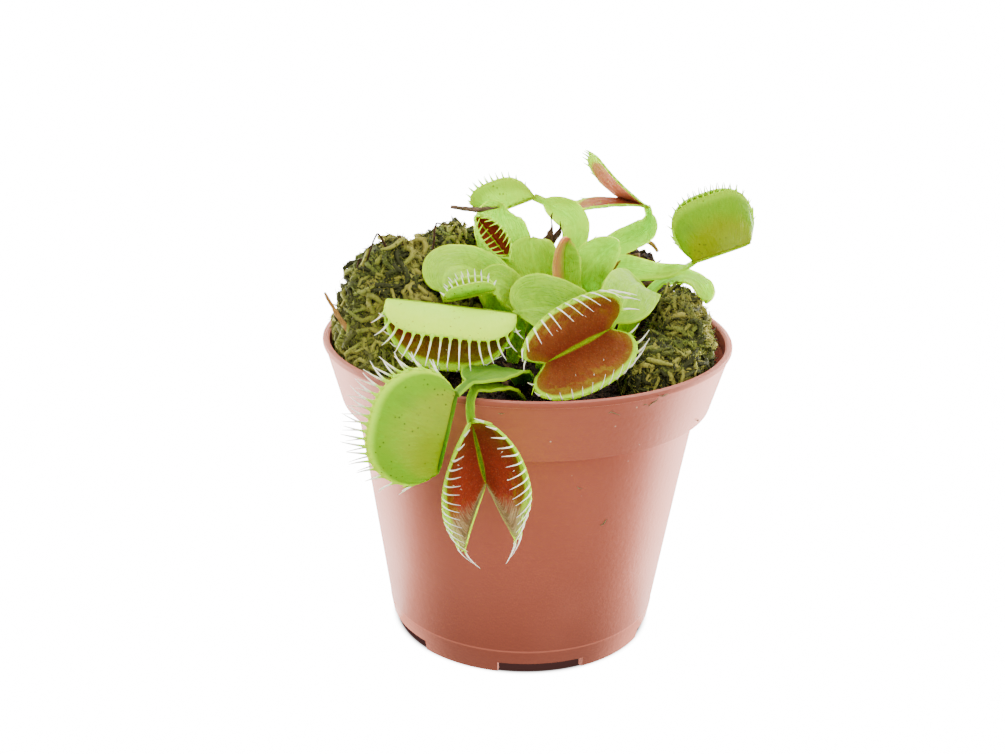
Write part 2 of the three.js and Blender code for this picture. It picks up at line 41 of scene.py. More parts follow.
import bmesh
import bpy
import numpy as np
from bpy.props import FloatProperty, FloatVectorProperty, IntProperty, PointerProperty
from mathutils import Matrix, Vector

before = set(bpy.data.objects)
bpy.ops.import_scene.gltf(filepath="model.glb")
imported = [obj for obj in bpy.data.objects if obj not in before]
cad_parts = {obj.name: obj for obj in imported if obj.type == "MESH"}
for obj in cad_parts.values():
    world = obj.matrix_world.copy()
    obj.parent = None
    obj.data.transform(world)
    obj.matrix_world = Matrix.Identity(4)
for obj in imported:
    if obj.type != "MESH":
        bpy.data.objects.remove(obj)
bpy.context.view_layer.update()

MM = 0.001
PER_CM2 = 10000.0   # how many square centimetres a square metre holds
STEEPEST = -0.35    # faces that look further down than this are left bare; -1 is straight down
POT_LOW, POT_HIGH = (np.array(corner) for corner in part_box("pot"))
POT_AXIS = np.array([*(POT_LOW + POT_HIGH)[:2] / 2, 0.0])

# ---------------------------------------------------------------- measures in millimetres
# All of them are taken from the pot's own axis, with z = 0 where the pot stands.

GAP = 0.3
WALL = 1.2
POT_HEIGHT = float(POT_HIGH[2]) / MM
RIM_RADIUS = float(POT_HIGH[0] - POT_LOW[0]) / 2 / MM
COLLAR_HEIGHT = 14
COLLAR_FOOT = POT_HEIGHT - COLLAR_HEIGHT
COLLAR_FOOT_RADIUS = 41.1
BODY_TOP_RADIUS = 38
BASE_RADIUS = 29.7
LIP_HEIGHT = 1.3
LIP_INSET, LIP_DROP = 1.8, 3.2      # the lip's inner corner, from the rim and from the top
COLLAR_OUTLINE = ((COLLAR_FOOT, 66.4, 67, 68.1, 68.8), (41.2, 44.1, 45, 45, 44.3))
FLOOR_HEIGHT = 3
FLOOR_TOP = FLOOR_HEIGHT + WALL
RING_LINE_HEIGHT = 5.8
NOTCH_COUNT = 5
NOTCH_HALF_ANGLE = 18.4
NOTCH_MIDDLE = 8.5
NOTCH_HEIGHT = 2.6
NOTCH_LOW = -1                     # below the table, so that the cut is clean
NOTCH_RADII = (24, 34)             # from inside the foot ring to outside it
DRAIN_RADIUS = 4
DRAIN_CIRCLE = 15
DRAIN_MIDDLE, DRAIN_LENGTH = 3.5, 6
PEAT_TOP = 62.5
PEAT_LEVEL = PEAT_TOP - 0.5        # the middle of its crumbled surface
INSIDE_RADIUS = COLLAR_FOOT_RADIUS - WALL
PEAT_REACH = INSIDE_RADIUS + 0.7   # how far peat may reach from the axis
MOSS_REACH = INSIDE_RADIUS + 2.4   # and moss, which lies higher, where the wall leans out

BLADE_THICKNESS = 0.62
RIB_THICKNESS = 1.15
STALK_FOOT_HALF_WIDTH = 1.1
STALK_HALF_WIDTH = 0.8
LOBE_THICKNESS = 0.62

# Each leaf is a flat winged stalk, and most end in a trap. `path` is the middle of the stalk,
# `up` faces its upper side. A trap hangs on its hinge, which starts at the stalk's end; `mouth`
# is the way it opens, `gape` the angle between its lobes, `deep` their depth, `flare` how far
# they widen, `lean` how far they slant to the tip and `drop` how much shorter their ends are.
# `look` names the colours of the trap; `tone` below 0 makes the stalk darker, as painted shade,
# and above 0 lighter, as painted light.
LEAVES = [
    dict(name="lying_trap", look="lying", tone=0.1, width=15.5, fold=6, widest=0.66,
         path=[(12, -5, 58), (12.5, -11, 73), (4, -17, 79), (-3, -23, 79.5)],
         up=(0.1, -0.75, 0.65),
         trap=dict(hinge=(-1, 0.02, 0.1), mouth=(0, -0.88, -0.44), long=26, deep=13.5, gape=34,
                   bulge=28, flare=0.12, drop=0.62, teeth=16, tooth=7, inward=10,
                   first=dict(inward=75, tooth=4, deep=13.6, gape=66))),
    dict(name="left_hanging", look="left", tone=-0.95, width=9, fold=3, wave=0.3, widest=0.66,
         end=0.86, up=(-0.1, -0.3, 0.9),
         path=[(-2, -12, 58), (-2, -22, 66.5), (-7.5, -35.5, 71.6), (-14, -48.5, 71.5)],
         trap=dict(hinge=(-3.2, -2, -14.6), mouth=(-1, 0.15, 0.1), long=15.5, deep=15.5,
                   gape=30, bulge=28, flare=0.85, drop=0.62, lean=0.03, teeth=20, tooth=7)),
    dict(name="front_hanging", look="front", tone=-0.6, width=9, fold=3, wave=0.2, widest=0.55,
         end=0.76, up=(0, -0.25, 1),
         path=[(-0.5, -21, 58), (-4, -28, 65), (-9.5, -39, 70.15), (-11, -47.5, 65.6)],
         trap=dict(hinge=(2.8, 1, -12), mouth=(0.05, -0.88, -0.1), long=13, deep=12, gape=88,
                   bulge=20, flare=0.7, drop=0.4, square=3, lean=0.42, teeth=16, tooth=6.5,
                   inward=70, taper=0.5, point=0.3, fade=0.2, last=0.87,
                   first=dict(flare=1.15, lean=0.3, deep=12.5),
                   second=dict(flare=0.95, lean=0.36, taper=0.1, drop=0.2, splay=20))),
    dict(name="centre_open", look="centre", tone=0.2, width=12, fold=6, up=(0.3, -0.5, 0.8),
         path=[(18, 0, 58), (24, 1, 77), (22, -9, 81.5), (16.5, -20, 76)],
         trap=dict(hinge=(-13.3, -10, -4.2), mouth=(0.36, -0.67, 0.4), long=17, deep=12.5,
                   gape=94, bulge=20, flare=0.95, drop=0.5, teeth=16, tooth=6, inward=60,
                   first=dict(lean=0.24), second=dict(lean=0.16, tooth=7.5, inward=72))),
    dict(name="right_upright", look="clear", tone=0.55, width=6, fold=10, widest=0.5,
         path=[(19, 11.5, 58), (18, 11, 79), (26, 9.5, 80.5), (35.5, -4, 86.5)],
         up=(0, -0.7, 0.7),
         trap=dict(hinge=(12, 2, 4), mouth=(-0.3, 0, 0.95), long=12.5, deep=14, gape=14,
                   bulge=30, flare=0.78, drop=0.45, square=3, lean=-0.05, teeth=18, tooth=2.5)),
    dict(name="top_open", look="top", tone=0.6, width=6, fold=10, widest=0.6,
         path=[(13.5, 15, 58), (15.5, 15.5, 80.5), (24.5, 18.5, 86.5), (27, 20, 93)],
         up=(0.1, -0.9, 0.2),
         trap=dict(hinge=(-4.4, 10.8, -0.9), mouth=(-0.85, -0.36, 0.38), long=12, deep=16,
                   gape=50, bulge=-4, flare=0.3, drop=0.6, teeth=14, tooth=2.5, inward=30)),
    dict(name="back_left", look="dark", tone=0.9, width=6.6, fold=6, up=(0, -0.9, 0.3),
         path=[(8, 9, 58), (9.5, 10, 82), (10, 12, 91), (1, 16, 95.5)],
         trap=dict(hinge=(-11, 0, -4.5), mouth=(-0.7, 0.1, 0.75), long=11.5, deep=7, gape=25,
                   bulge=25, flare=0.3, drop=0.4, lean=0.2, teeth=12, tooth=2.5)),
    dict(name="small_striped", look="dark", tone=0.3, width=4, fold=8, widest=0.6,
         path=[(3, 0.5, 58), (2.5, 2.5, 71), (-3.3, 4.5, 80), (-5.1, 5.3, 84.5)],
         up=(0, -0.6, 0.7),
         trap=dict(hinge=(-0.62, 0, 0.78), mouth=(0.1, -0.9, 0.3), long=11, deep=5.5, gape=60,
                   bulge=25, flare=0.1, drop=0.6, teeth=11, tooth=3.5, inward=60)),
    dict(name="small_young", look="young", tone=0.35, width=13, fold=6, widest=0.6,
         path=[(-4, -1, 58), (-5.5, -3.5, 77), (-14.5, -9, 85.3), (-17, -20, 81.5)],
         up=(-0.1, -0.6, 0.7),
         trap=dict(hinge=(1, 0, 0.25), mouth=(0, -0.3, 0.9), long=10, deep=4, gape=40,
                   bulge=20, flare=0.2, drop=0.7, teeth=10, tooth=2.5)),
    dict(name="front_left", width=9.5, fold=6, widest=0.7, up=(0, -0.6, 0.7),
         path=[(2, -6, 58), (2.5, -7.5, 72), (-4, -12, 81.5), (-9, -14, 82.5)]),
    dict(name="upright_centre", tone=1, width=10.5, fold=8, widest=0.8, up=(0, -0.9, 0.3),
         path=[(6, 5, 58), (5, 6, 69), (2, 7, 80.5), (0.5, 8, 88)]),
    dict(name="withered_tip", tone=0.8, width=12, fold=8, widest=0.7, up=(0, -0.9, 0.4),
         path=[(0, 8, 58), (1, 10, 72), (-5, 11.5, 85), (-6, 11.5, 94.8)],
         withered=[(-6.5, 11.5, 94), (-12, 10.5, 93.6), (-17.5, 9.5, 94.2)]),
    dict(name="forked", tone=0.65, width=10, fold=8, widest=0.6, up=(0, -0.8, 0.4),
         path=[(14, 4.5, 58), (13, 4, 74), (13.5, 4, 82), (19.5, 3, 89)]),
    dict(name="young_rolled", edge="pink", width=8, fold=40, widest=0.6, up=(0.3, -0.9, 0.3),
         path=[(9, -2.5, 58), (9, -2, 70), (7.5, -1, 82.5), (8.5, 0, 90)]),
    dict(name="right_arched", tone=0.7, width=6, fold=10, widest=0.5, up=(0, -0.3, 0.9),
         path=[(21.5, 8.5, 58), (28.5, 8, 76.5), (36, 3, 80.5), (38.5, -4, 77.5)]),
    dict(name="shaded_front", tone=-0.6, width=9, fold=4, wave=0.3, up=(0, -0.6, 0.7),
         path=[(9, -14, 58), (8, -18, 63.5), (6, -26, 66), (4, -32, 65)]),
]
TRAP = dict(square=2.6, lean=0, splay=0, inward=20, taper=0, point=0, fade=0.45, last=1)
LOBE_CUP = 12     # how many degrees a lobe's ends lie closer to the other lobe
LONG_TOOTH = 3    # shorter ones stand straighter and a little thinner
TOOTH_GIRTH, SMALL_TOOTH_GIRTH = 0.24, 0.2
TOOTH_ROOT = 0.35   # how deep a tooth is sunk in the margin
TOOTH_SHARPNESS = 1.4
PILLOW = 0.14     # how uneven a lobe's flesh is
HAIRY_LOBE = 6    # lobes deeper than this carry trigger hairs
TIP_PLACE, TIP_SPREAD = 0.8, 0.13   # where a lobe's point stands out, and how far round it

# A trap's colours: the flesh and its far end, then the middle, the outer part and the hinge
# side of the back; `start` is where the far end begins and `rim` where the lime margin does.
LOOKS = {
    "lying": dict(flesh="olive", far="red", back="pale", outer="yellow", edge="yellow"),
    "left": dict(flesh="red", back="faded", outer="blade", blot="olive_green", edge="yellow"),
    "front": dict(flesh="orange", far="red", start=0.3, back="pale", outer="blade_light",
                  withered=0.85),
    "centre": dict(flesh="orange", back="lime", outer="blade_light", rim=0.9),
    "clear": dict(flesh="blade", back="olive_green", outer="blade", blot="faded",
                  edge="blade_light", teeth="lime"),
    "young": dict(flesh="lime", back="blade", outer="blade_light"),
    "top": dict(flesh="pink", back="lime", outer="blade_light", teeth="pale"),
    "dark": dict(flesh="red", back="pale", outer="blade_light", teeth="pale"),
}

# Cushions of moss and the heap of peat: an oval each, with its height over the foot.
MOSS_FOOT = PEAT_TOP + GAP
LUMP_SIDE = 1.5                    # how high the steep side of a lump is
COARSE_BUMPS, FINE_BUMPS = 1.3, 0.9
MOSS_LEFT = [
    dict(centre=(-28.6, -4.5), radii=(13.6, 17.5), turn=0.1, tall=26, seed=1, slope=2,
         power=0.62),
    dict(centre=(-17.5, 21.5), radii=(15, 12), turn=-0.4, tall=23, seed=4, slope=2),
    dict(centre=(-31, -19), radii=(8.5, 6.5), turn=0.8, tall=7, seed=2),
]
MOSS_RIGHT = [
    dict(centre=(33.2, -3), radii=(5.6, 14.6), turn=0.05, tall=14.8, seed=7, slope=2.4),
    dict(centre=(29, -19.5), radii=(8.5, 10), turn=-0.7, tall=8.5, seed=3),
]
PEAT_HEAP = dict(centre=(19, 27), radii=(17.5, 10), turn=0, tall=20.5, seed=5,
                 foot=PEAT_TOP - 1.5)

# Litter: each stick's piece, the node it stands for, its path, half its width and its finish.
STICKS = [
    ("twig_left", "twig", [(-36, -16, 71), (-39.5, -15.5, 75.5), (-43, -12.5, 80.4)],
     0.55, "tan", "bark"),
    ("bark_stick_right", "bark_stick", [(22, 20, 73), (27, 14.8, 76), (32.4, 12.3, 76.4)],
     0.85, "brown", "bark"),
    ("dead_leaf_back", "dead_leaf",
     [(21.5, 27, 77), (23.5, 24.5, 81.5), (27, 25, 83.6), (30.5, 23.5, 81.5)],
     0.75, "tan", "dead_leaf"),
]

# Thin dark roots that arch over the left cushion: where each starts, peaks and ends.
ROOTS = [
    ((-29.8, -8, 88.5), (-32.2, -9, 93), (-35.6, -10.5, 83)),
    ((-34.8, -8, 84), (-36, -8, 87), (-37.4, -8, 82)),
    ((-28.6, -8, 87), (-27.6, -8, 92.2), (-25.8, -8, 87)),
    ((-21.4, 8, 85), (-20.8, 8, 91), (-18, 8, 90.6)),
]

# Flecks stuck to the pot: the angle from its front and the height. None reaches over the
# top, and their spread along the wall is reckoned at one radius.
FLECK_RADIUS, FLECK_TOP = 41, 68.3
POT_FLECKS = [(21, 66), (22.3, 65.4), (31, 66.3), (33, 66.6), (36, 67.9), (58.7, 57), (-7, 66.2),
              (27, 37.2), (27.8, 37.9), (17, 47), (75, 50), (100, 62), (170, 40), (210, 66)]

# Dead stalks that stand between the leaves at the back, each by its foot and its tip.
DEAD_STALKS = [((3, 10, 74), (4.2, 9.5, 86.5)), ((5.4, 11, 76), (3.4, 10, 89)),
               ((4.5, 12, 80), (6.6, 11, 91.5)), ((6.6, 10.5, 75), (5.2, 9.5, 84)),
               ((2.2, 11.5, 83), (5.8, 10.5, 93)), ((16.5, 12, 72), (21, 9.5, 83)),
               ((18.5, 12.5, 76), (17.4, 10.5, 82))]

# Lights: place and size in metres, and energy.
LAMPS = {"key": ((-0.3, -0.45, 0.6), 0.35, 0.85), "front": ((0.25, -0.68, 0.28), 0.4, 1.5),
         "top": ((0.05, 0.25, 0.65), 0.4, 1.3), "left": ((-0.5, 0.32, 0.0), 0.2, 3.6),
         "right": ((0.5, 0.3, 0.0), 0.2, 4.6)}

# Colours that belong to one finish only.
DUST = (0.16, 0.09, 0.05)
DUST_SPECK = (0.62, 0.45, 0.30)
PALE_CRUMB = (0.20, 0.11, 0.055)
LEAF_SHADE = (0.05, 0.15, 0.012)
GLAND = (0.9, 0.5, 0.2)
SPECK = (0.03, 0.05, 0.012)
# Painted shadow: the floor's dark brown under the pot's foot, seen through the notches.
UNDER_POT_SHADOW = (0.0046, 0.0019, 0.0017)
BROWN_BARK = ((0.035, 0.018, 0.010), (0.15, 0.075, 0.035))
TAN_BARK = ((0.26, 0.11, 0.025), (0.62, 0.34, 0.10))
DRY_FLECK = ((0.12, 0.07, 0.03), (0.55, 0.42, 0.22))
WITHERED = ((0.10, 0.05, 0.03), (0.33, 0.22, 0.14))
LEAF_RADIUS = (0.7, 1.0, 0.05)   # how far red, green and blue light spread in a leaf
SHEEN = 0.015                    # how strongly every surface mirrors the white room, 0 to 1
ROOM_RADIUS = 3.0                # of the white room, in metres
UNDER_POT_SHADOW_EDGE = (0.0288, 0.0306)   # between which radii the painted shadow under the pot gives way to white, in metres
LOOKED_AT = (-5.3, 0, 57.9)      # what the camera and the lamps are aimed at


# ---------------------------------------------------------------- settings

def colour(name, description, *default):
    """A colour that the user can change."""
    return FloatVectorProperty(name=name, description=description, default=default,
                               subtype="COLOR", size=3, min=0, max=1)


def number(name, description, default, **more):
    """A number that the user can change."""
    return FloatProperty(name=name, description=description, default=default, **more)


def length(name, description, default):
    """A length in metres that the user can change."""
    return number(name, description, default, unit="LENGTH", min=0, precision=5)


def count(name, description, default, **more):
    """A whole number that the user can change."""
    return IntProperty(name=name, description=description, default=default, **more)


class PotSettings(bpy.types.PropertyGroup):
    """Sizes and colours of the pot"""

    rim_diameter: length("Rim diameter", "Width across the rolled lip", 2 * RIM_RADIUS * MM)
    height: length("Height", "From the table to the lip", POT_HEIGHT * MM)
    plastic: colour("Plastic", "Terracotta-coloured plastic", 0.305, 0.070, 0.038)
    # this colour serves both the real rubbed wear and the painted highlight along the ring line
    worn_and_highlight: colour("Rubbed plastic and ring highlight", "Where handling has paled the plastic", 0.445, 0.123, 0.074)


class LeafSettings(bpy.types.PropertyGroup):
    """Colours of the leaves"""

    blade: colour("Blade", "Fresh green of the winged stalks", 0.17, 0.36, 0.0)
    blade_light: colour("Blade, lit", "Paler green towards the edges", 0.33, 0.60, 0.0)
    lime: colour("Lime", "Yellow-green of the trap margins", 0.42, 0.76, 0.0)
    pale: colour("Pale", "Chalky lime of the oldest trap's back", 0.50, 0.97, 0.0)
    red: colour("Red", "Inside of the red-brown traps", 0.25, 0.032, 0.012)
    orange: colour("Orange", "Inside of the middle trap", 0.22, 0.058, 0.014)
    faded: colour("Faded back", "Pale olive of the left trap's back", 0.27, 0.37, 0.012)
    olive_green: colour("Olive green", "Green that the light shines through", 0.225, 0.29, 0.0)
    shaded: colour("Shaded back", "Grey-green on the left trap's back", 0.10, 0.19, 0.03)
    olive: colour("Olive", "Inside of the lying trap", 0.13, 0.085, 0.005)
    olive_edge: colour("Olive edge", "Flesh that fades to the margin", 0.16, 0.13, 0.004)
    yellow: colour("Yellow-green", "Margin that the light shines through", 0.58, 1.0, 0.0)
    straw: colour("Straw", "Withered flesh", 0.33, 0.23, 0.10)
    pink: colour("Pink", "Inside of the top trap", 0.60, 0.19, 0.075)
    cream: colour("Cream", "Tips of the teeth", 0.97, 0.94, 0.74)


class MossSettings(bpy.types.PropertyGroup):
    """How the moss and the peat are strewn"""

    strand: length("Strand", "Length of a moss strand", 0.0075)
    thickness: length("Thickness", "Thickness of a moss strand", 0.0011)
    leaflet: length("Leaflet", "Length of a moss leaflet", 0.0013)
    crumb: length("Crumb", "Size of a peat crumb", 0.0022)
    strands: count("Strands", "Strands per square centimetre", 58, min=1)
    leaflets: count("Leaflets", "Moss leaflets per square centimetre", 112, min=1)
    crumbs: count("Crumbs", "Peat crumbs per square centimetre", 38, min=1)
    seed: count("Seed", "Seed of everything that is strewn", 3)
    green: colour("Moss", "Green moss", 0.17, 0.215, 0.030)
    gold: colour("Golden moss", "Dry, golden tips", 0.27, 0.245, 0.045)
    # dark is painted shade in the hollows on the lumps beneath the strands, and the own dark tone
    # of some strands
    dark: colour("Dark moss and painted shade", "Dark moss in the hollows", 0.036, 0.038, 0.014)
    peat: colour("Peat", "Damp peat", 0.011, 0.008, 0.007)


class StageSettings(bpy.types.PropertyGroup):
    """Camera, floor and light"""

    distance: length("Camera distance", "From the camera to the plant", 0.305)
    elevation: number("Elevation", "Camera angle above the horizon", math.radians(19.7),
                      subtype="ANGLE")
    roll: number("Roll", "Turn of the camera about its own axis", math.radians(1.15),
                 subtype="ANGLE")
    lens: number("Lens", "Focal length in millimetres on a 36 mm film", 48.72, min=1)
    backdrop: number("Backdrop", "Brightness of the white backdrop", 16.3, min=0)
    soft_light: number("Soft light", "Brightness of the light all round", 0.9, min=0)
    lamps: number("Lamps", "Strength of the lamps above the plant", 3.4, min=0)


SETTINGS = {"flytrap_pot": PotSettings, "flytrap_leaves": LeafSettings,
            "flytrap_moss": MossSettings, "flytrap_stage": StageSettings}




# ---------------------------------------------------------------- node trees

class Wire:
    """A number that changes over a surface. Sums and products of wires add Math nodes."""

    def __init__(self, graph, socket):
        self.graph, self.socket = graph, socket

    def math(self, operation, *operands, clamp=False):
        settings = {"operation": operation, "use_clamp": clamp}
        return self.graph.wire("ShaderNodeMath", settings, dict(enumerate(operands)))

    def __add__(self, other):
        return self.math("ADD", self, other)

    def __sub__(self, other):
        return self.math("SUBTRACT", self, other)

    def __mul__(self, other):
        return self.math("MULTIPLY", self, other)

    def __pow__(self, other):
        return self.math("POWER", self, other)

    def __rsub__(self, other):
        return self.math("SUBTRACT", other, self)

    def __abs__(self):
        return self.math("ABSOLUTE", self)

    __radd__, __rmul__ = __add__, __mul__

    def sine(self):
        return self.math("SINE", self)

    def above(self, level):
        """1 where the number is greater than the level, and 0 elsewhere."""
        return self.math("GREATER_THAN", self, level)

    def clipped(self):
        """The same, held between 0 and 1."""
        return self.math("ADD", self, 0, clamp=True)

    def step(self, low, high):
        """0 below low and 1 above high, with a soft step between them."""
        return self.graph.wire("ShaderNodeMapRange", {"interpolation_type": "SMOOTHSTEP"},
                               {0: self, 1: low, 2: high})


class Graph:
    """Adds nodes to a tree. A value that is a socket is linked, any other is set."""

    def __init__(self, tree):
        self.tree = tree

    def node(self, kind, settings=None, values=None, **named):
        """A new node. Named values go by the input's name, with _ for each space in it."""
        node = self.tree.nodes.new(kind)
        for key, value in (settings or {}).items():
            setattr(node, key, value)
        for key, value in (values or {}).items():
            self.feed(node.inputs[key], value)
        for key, value in named.items():
            self.feed(node.inputs[key.replace("_", " ")], value)
        return node

    def out(self, *told, **named):
        """The first output of a new node."""
        return self.node(*told, **named).outputs[0]

    def wire(self, *told, **named):
        """The first output of a new node, as a number."""
        return Wire(self, self.out(*told, **named))

    def split(self, vector):
        """The three numbers of a vector."""
        return [Wire(self, part)
                for part in self.node("ShaderNodeSeparateXYZ", Vector=vector).outputs]

    def feed(self, socket, value):
        value = getattr(value, "socket", value)
        if isinstance(value, bpy.types.NodeSocket):
            self.tree.links.new(value, socket)
        else:
            socket.default_value = value


class Finish(Graph):
    """A material: a Principled shader, and the colour that is painted on it coat by coat."""

    def __init__(self, name, colour=None, **constants):
        self.material = bpy.data.materials.new(name)
        self.material.use_nodes = True
        super().__init__(self.material.node_tree)
        self.shader = self.tree.nodes["Principled BSDF"]
        self.set(**{"Specular_IOR_Level": SHEEN, **constants})
        self.place = self.node("ShaderNodeTexCoord").outputs["Object"]
        self.colour = colour

    def set(self, **inputs):
        for key, value in inputs.items():
            self.feed(self.shader.inputs[key.replace("_", " ")], value)
        return self.material

    def noise(self, scale, detail=2.0, bend=0.0, place=None):
        return self.wire("ShaderNodeTexNoise", Vector=place or self.place, Scale=scale,
                         Detail=detail, Distortion=bend)

    def cells(self, scale):
        return self.wire("ShaderNodeTexVoronoi", Vector=self.place, Scale=scale)

    def grain(self, scale, detail, stretch, bend=0.0, place=None):
        """Noise drawn out along the piece's own UV map, or along another place."""
        place = self.out("ShaderNodeMapping", Vector=place or self.uv, Scale=stretch)
        return self.noise(scale, detail, bend, place)

    def across(self):
        """The two directions of the piece's own UV map, each from 0 to 1."""
        self.uv = self.out("ShaderNodeUVMap", {"uv_map": UV_NAME})
        return self.split(self.uv)[:2]

    def attribute(self, name):
        return Wire(self, self.node("ShaderNodeAttribute", {"attribute_name": name})
                    .outputs["Fac"])

    def blend(self, mask, first, second):
        """The first colour where the mask is 0 and the second where it is 1."""
        values = {0: mask, 6: rgba(first), 7: rgba(second)}
        return self.node("ShaderNodeMix", {"data_type": "RGBA"}, values).outputs[2]

    def paint(self, mask, colour):
        """Lays a colour over what is there, where the mask is 1."""
        self.colour = self.blend(mask, self.colour, colour)

    def overlay(self, mask, colour, rough):
        """A plainer surface, without the first one's sheen, where the mask is 1."""
        plain = self.out("ShaderNodeBsdfPrincipled", Base_Color=rgba(colour), Roughness=rough,
                         Specular_IOR_Level=SHEEN)
        both = self.out("ShaderNodeMixShader", None,
                        {0: mask, 1: self.shader.outputs[0], 2: plain})
        self.feed(self.tree.nodes["Material Output"].inputs["Surface"], both)

    def bump(self, height, distance):
        self.set(Normal=self.out("ShaderNodeBump", Height=height, Distance=distance))

    def done(self, **inputs):
        """The material, in the painted colour."""
        return self.set(Base_Color=self.colour, **inputs)


def rgba(colour):
    """A colour with its alpha, or the socket that carries it."""
    return colour if isinstance(colour, bpy.types.NodeSocket) else (*colour[:3], 1.0)


def mixed(first, second, share):
    """A colour between two others, worked out beforehand."""
    return tuple(a + (b - a) * share for a, b in zip(first, second))


def darker(colour, share):
    return mixed(colour, (0, 0, 0), share)


class Growth(Graph):
    """A Geometry Nodes tree with named inputs, run once on an object's mesh."""

    def __init__(self, name, **inputs):
        super().__init__(bpy.data.node_groups.new(name, "GeometryNodeTree"))
        self.tree.is_modifier = True
        face = self.tree.interface
        face.new_socket("Geometry", in_out="INPUT", socket_type="NodeSocketGeometry")
        face.new_socket("Geometry", in_out="OUTPUT", socket_type="NodeSocketGeometry")
        self.keys = {label: face.new_socket(label, in_out="INPUT",
                                            socket_type="NodeSocket" + kind).identifier
                     for label, kind in inputs.items()}
        self.given = self.tree.nodes.new("NodeGroupInput").outputs

    def number(self, label):
        return Wire(self, self.given[label])

    def store(self, geometry, name, value, kind="FLOAT", domain="POINT"):
        """The geometry, with a value kept on it under a name."""
        return self.out("GeometryNodeStoreNamedAttribute", {"data_type": kind, "domain": domain},
                        Geometry=geometry, Name=name, Value=value)

    def random(self, kind, low, high, salt):
        """A random number or vector for each point; salt tells one draw from another."""
        first, output = {"FLOAT_VECTOR": (0, 0), "FLOAT": (2, 1), "INT": (4, 2)}[kind]
        seed = self.number("Seed") + salt
        return self.node("FunctionNodeRandomValue", {"data_type": kind},
                         {first: low, first + 1: high, 8: seed}).outputs[output]

    def finish(self, geometry, material):
        """Ends the tree: instances made real, shaded smooth, in their material."""
        real = self.out("GeometryNodeRealizeInstances", Geometry=geometry)
        smooth = self.out("GeometryNodeSetShadeSmooth", Geometry=real)
        dressed = self.out("GeometryNodeSetMaterial", Geometry=smooth, Material=material)
        self.node("NodeGroupOutput", Geometry=dressed)

    def run(self, mesh, **values):
        """The plain mesh that the tree makes of a mesh."""
        holder = new_object("seedbed", mesh)
        modifier = holder.modifiers.new("growth", "NODES")
        modifier.node_group = self.tree
        for label, value in values.items():
            modifier[self.keys[label]] = value
        grown = evaluated(holder)
        bpy.data.objects.remove(holder)
        return grown


# ---------------------------------------------------------------- meshes

UV_NAME = "place"


def new_object(name, mesh):
    thing = bpy.data.objects.new(name, mesh)
    bpy.context.scene.collection.objects.link(thing)
    return thing


def evaluated(thing):
    """What an object's modifiers make of it, as a plain mesh."""
    bpy.context.view_layer.update()
    view = thing.evaluated_get(bpy.context.evaluated_depsgraph_get())
    return bpy.data.meshes.new_from_object(view, preserve_all_data_layers=True,
                                           depsgraph=bpy.context.evaluated_depsgraph_get())


def new_mesh(name, points, faces=(), materials=(), slots=()):
    """A mesh of points and faces; slots gives each face its material."""
    mesh = bpy.data.meshes.new(name)
    mesh.from_pydata(points.tolist(), [], faces)
    for material in materials:
        mesh.materials.append(material)
    if slots:
        mesh.polygons.foreach_set("material_index", slots)
    return mesh


def soften(mesh, angle):
    """Shades a mesh smooth, but for its edges sharper than an angle in degrees."""
    mesh.shade_smooth()
    mesh.set_sharp_from_angle(angle=math.radians(angle))


def row(points):
    """Points measured from the pot's axis in millimetres, in the row frame in metres."""
    return np.asarray(points, dtype=float) * MM + POT_AXIS


def quads(*corners):
    """Four-cornered faces from four arrays of corners."""
    return np.stack(corners, -1).reshape(-1, 4).tolist()


def squares(corner):
    """The faces between the rows and the columns of a grid of corners."""
    return quads(corner[:-1, :-1], corner[1:, :-1], corner[1:, 1:], corner[:-1, 1:])


def bands(corner):
    """The faces between one closed ring of corners and the next."""
    ahead = np.roll(corner, -1, axis=1)
    return quads(corner[:-1], ahead[:-1], ahead[1:], corner[1:])


def grid_of(rows, columns):
    """The numbers of a grid's points, row by row."""
    return np.arange(rows * columns).reshape(rows, columns)


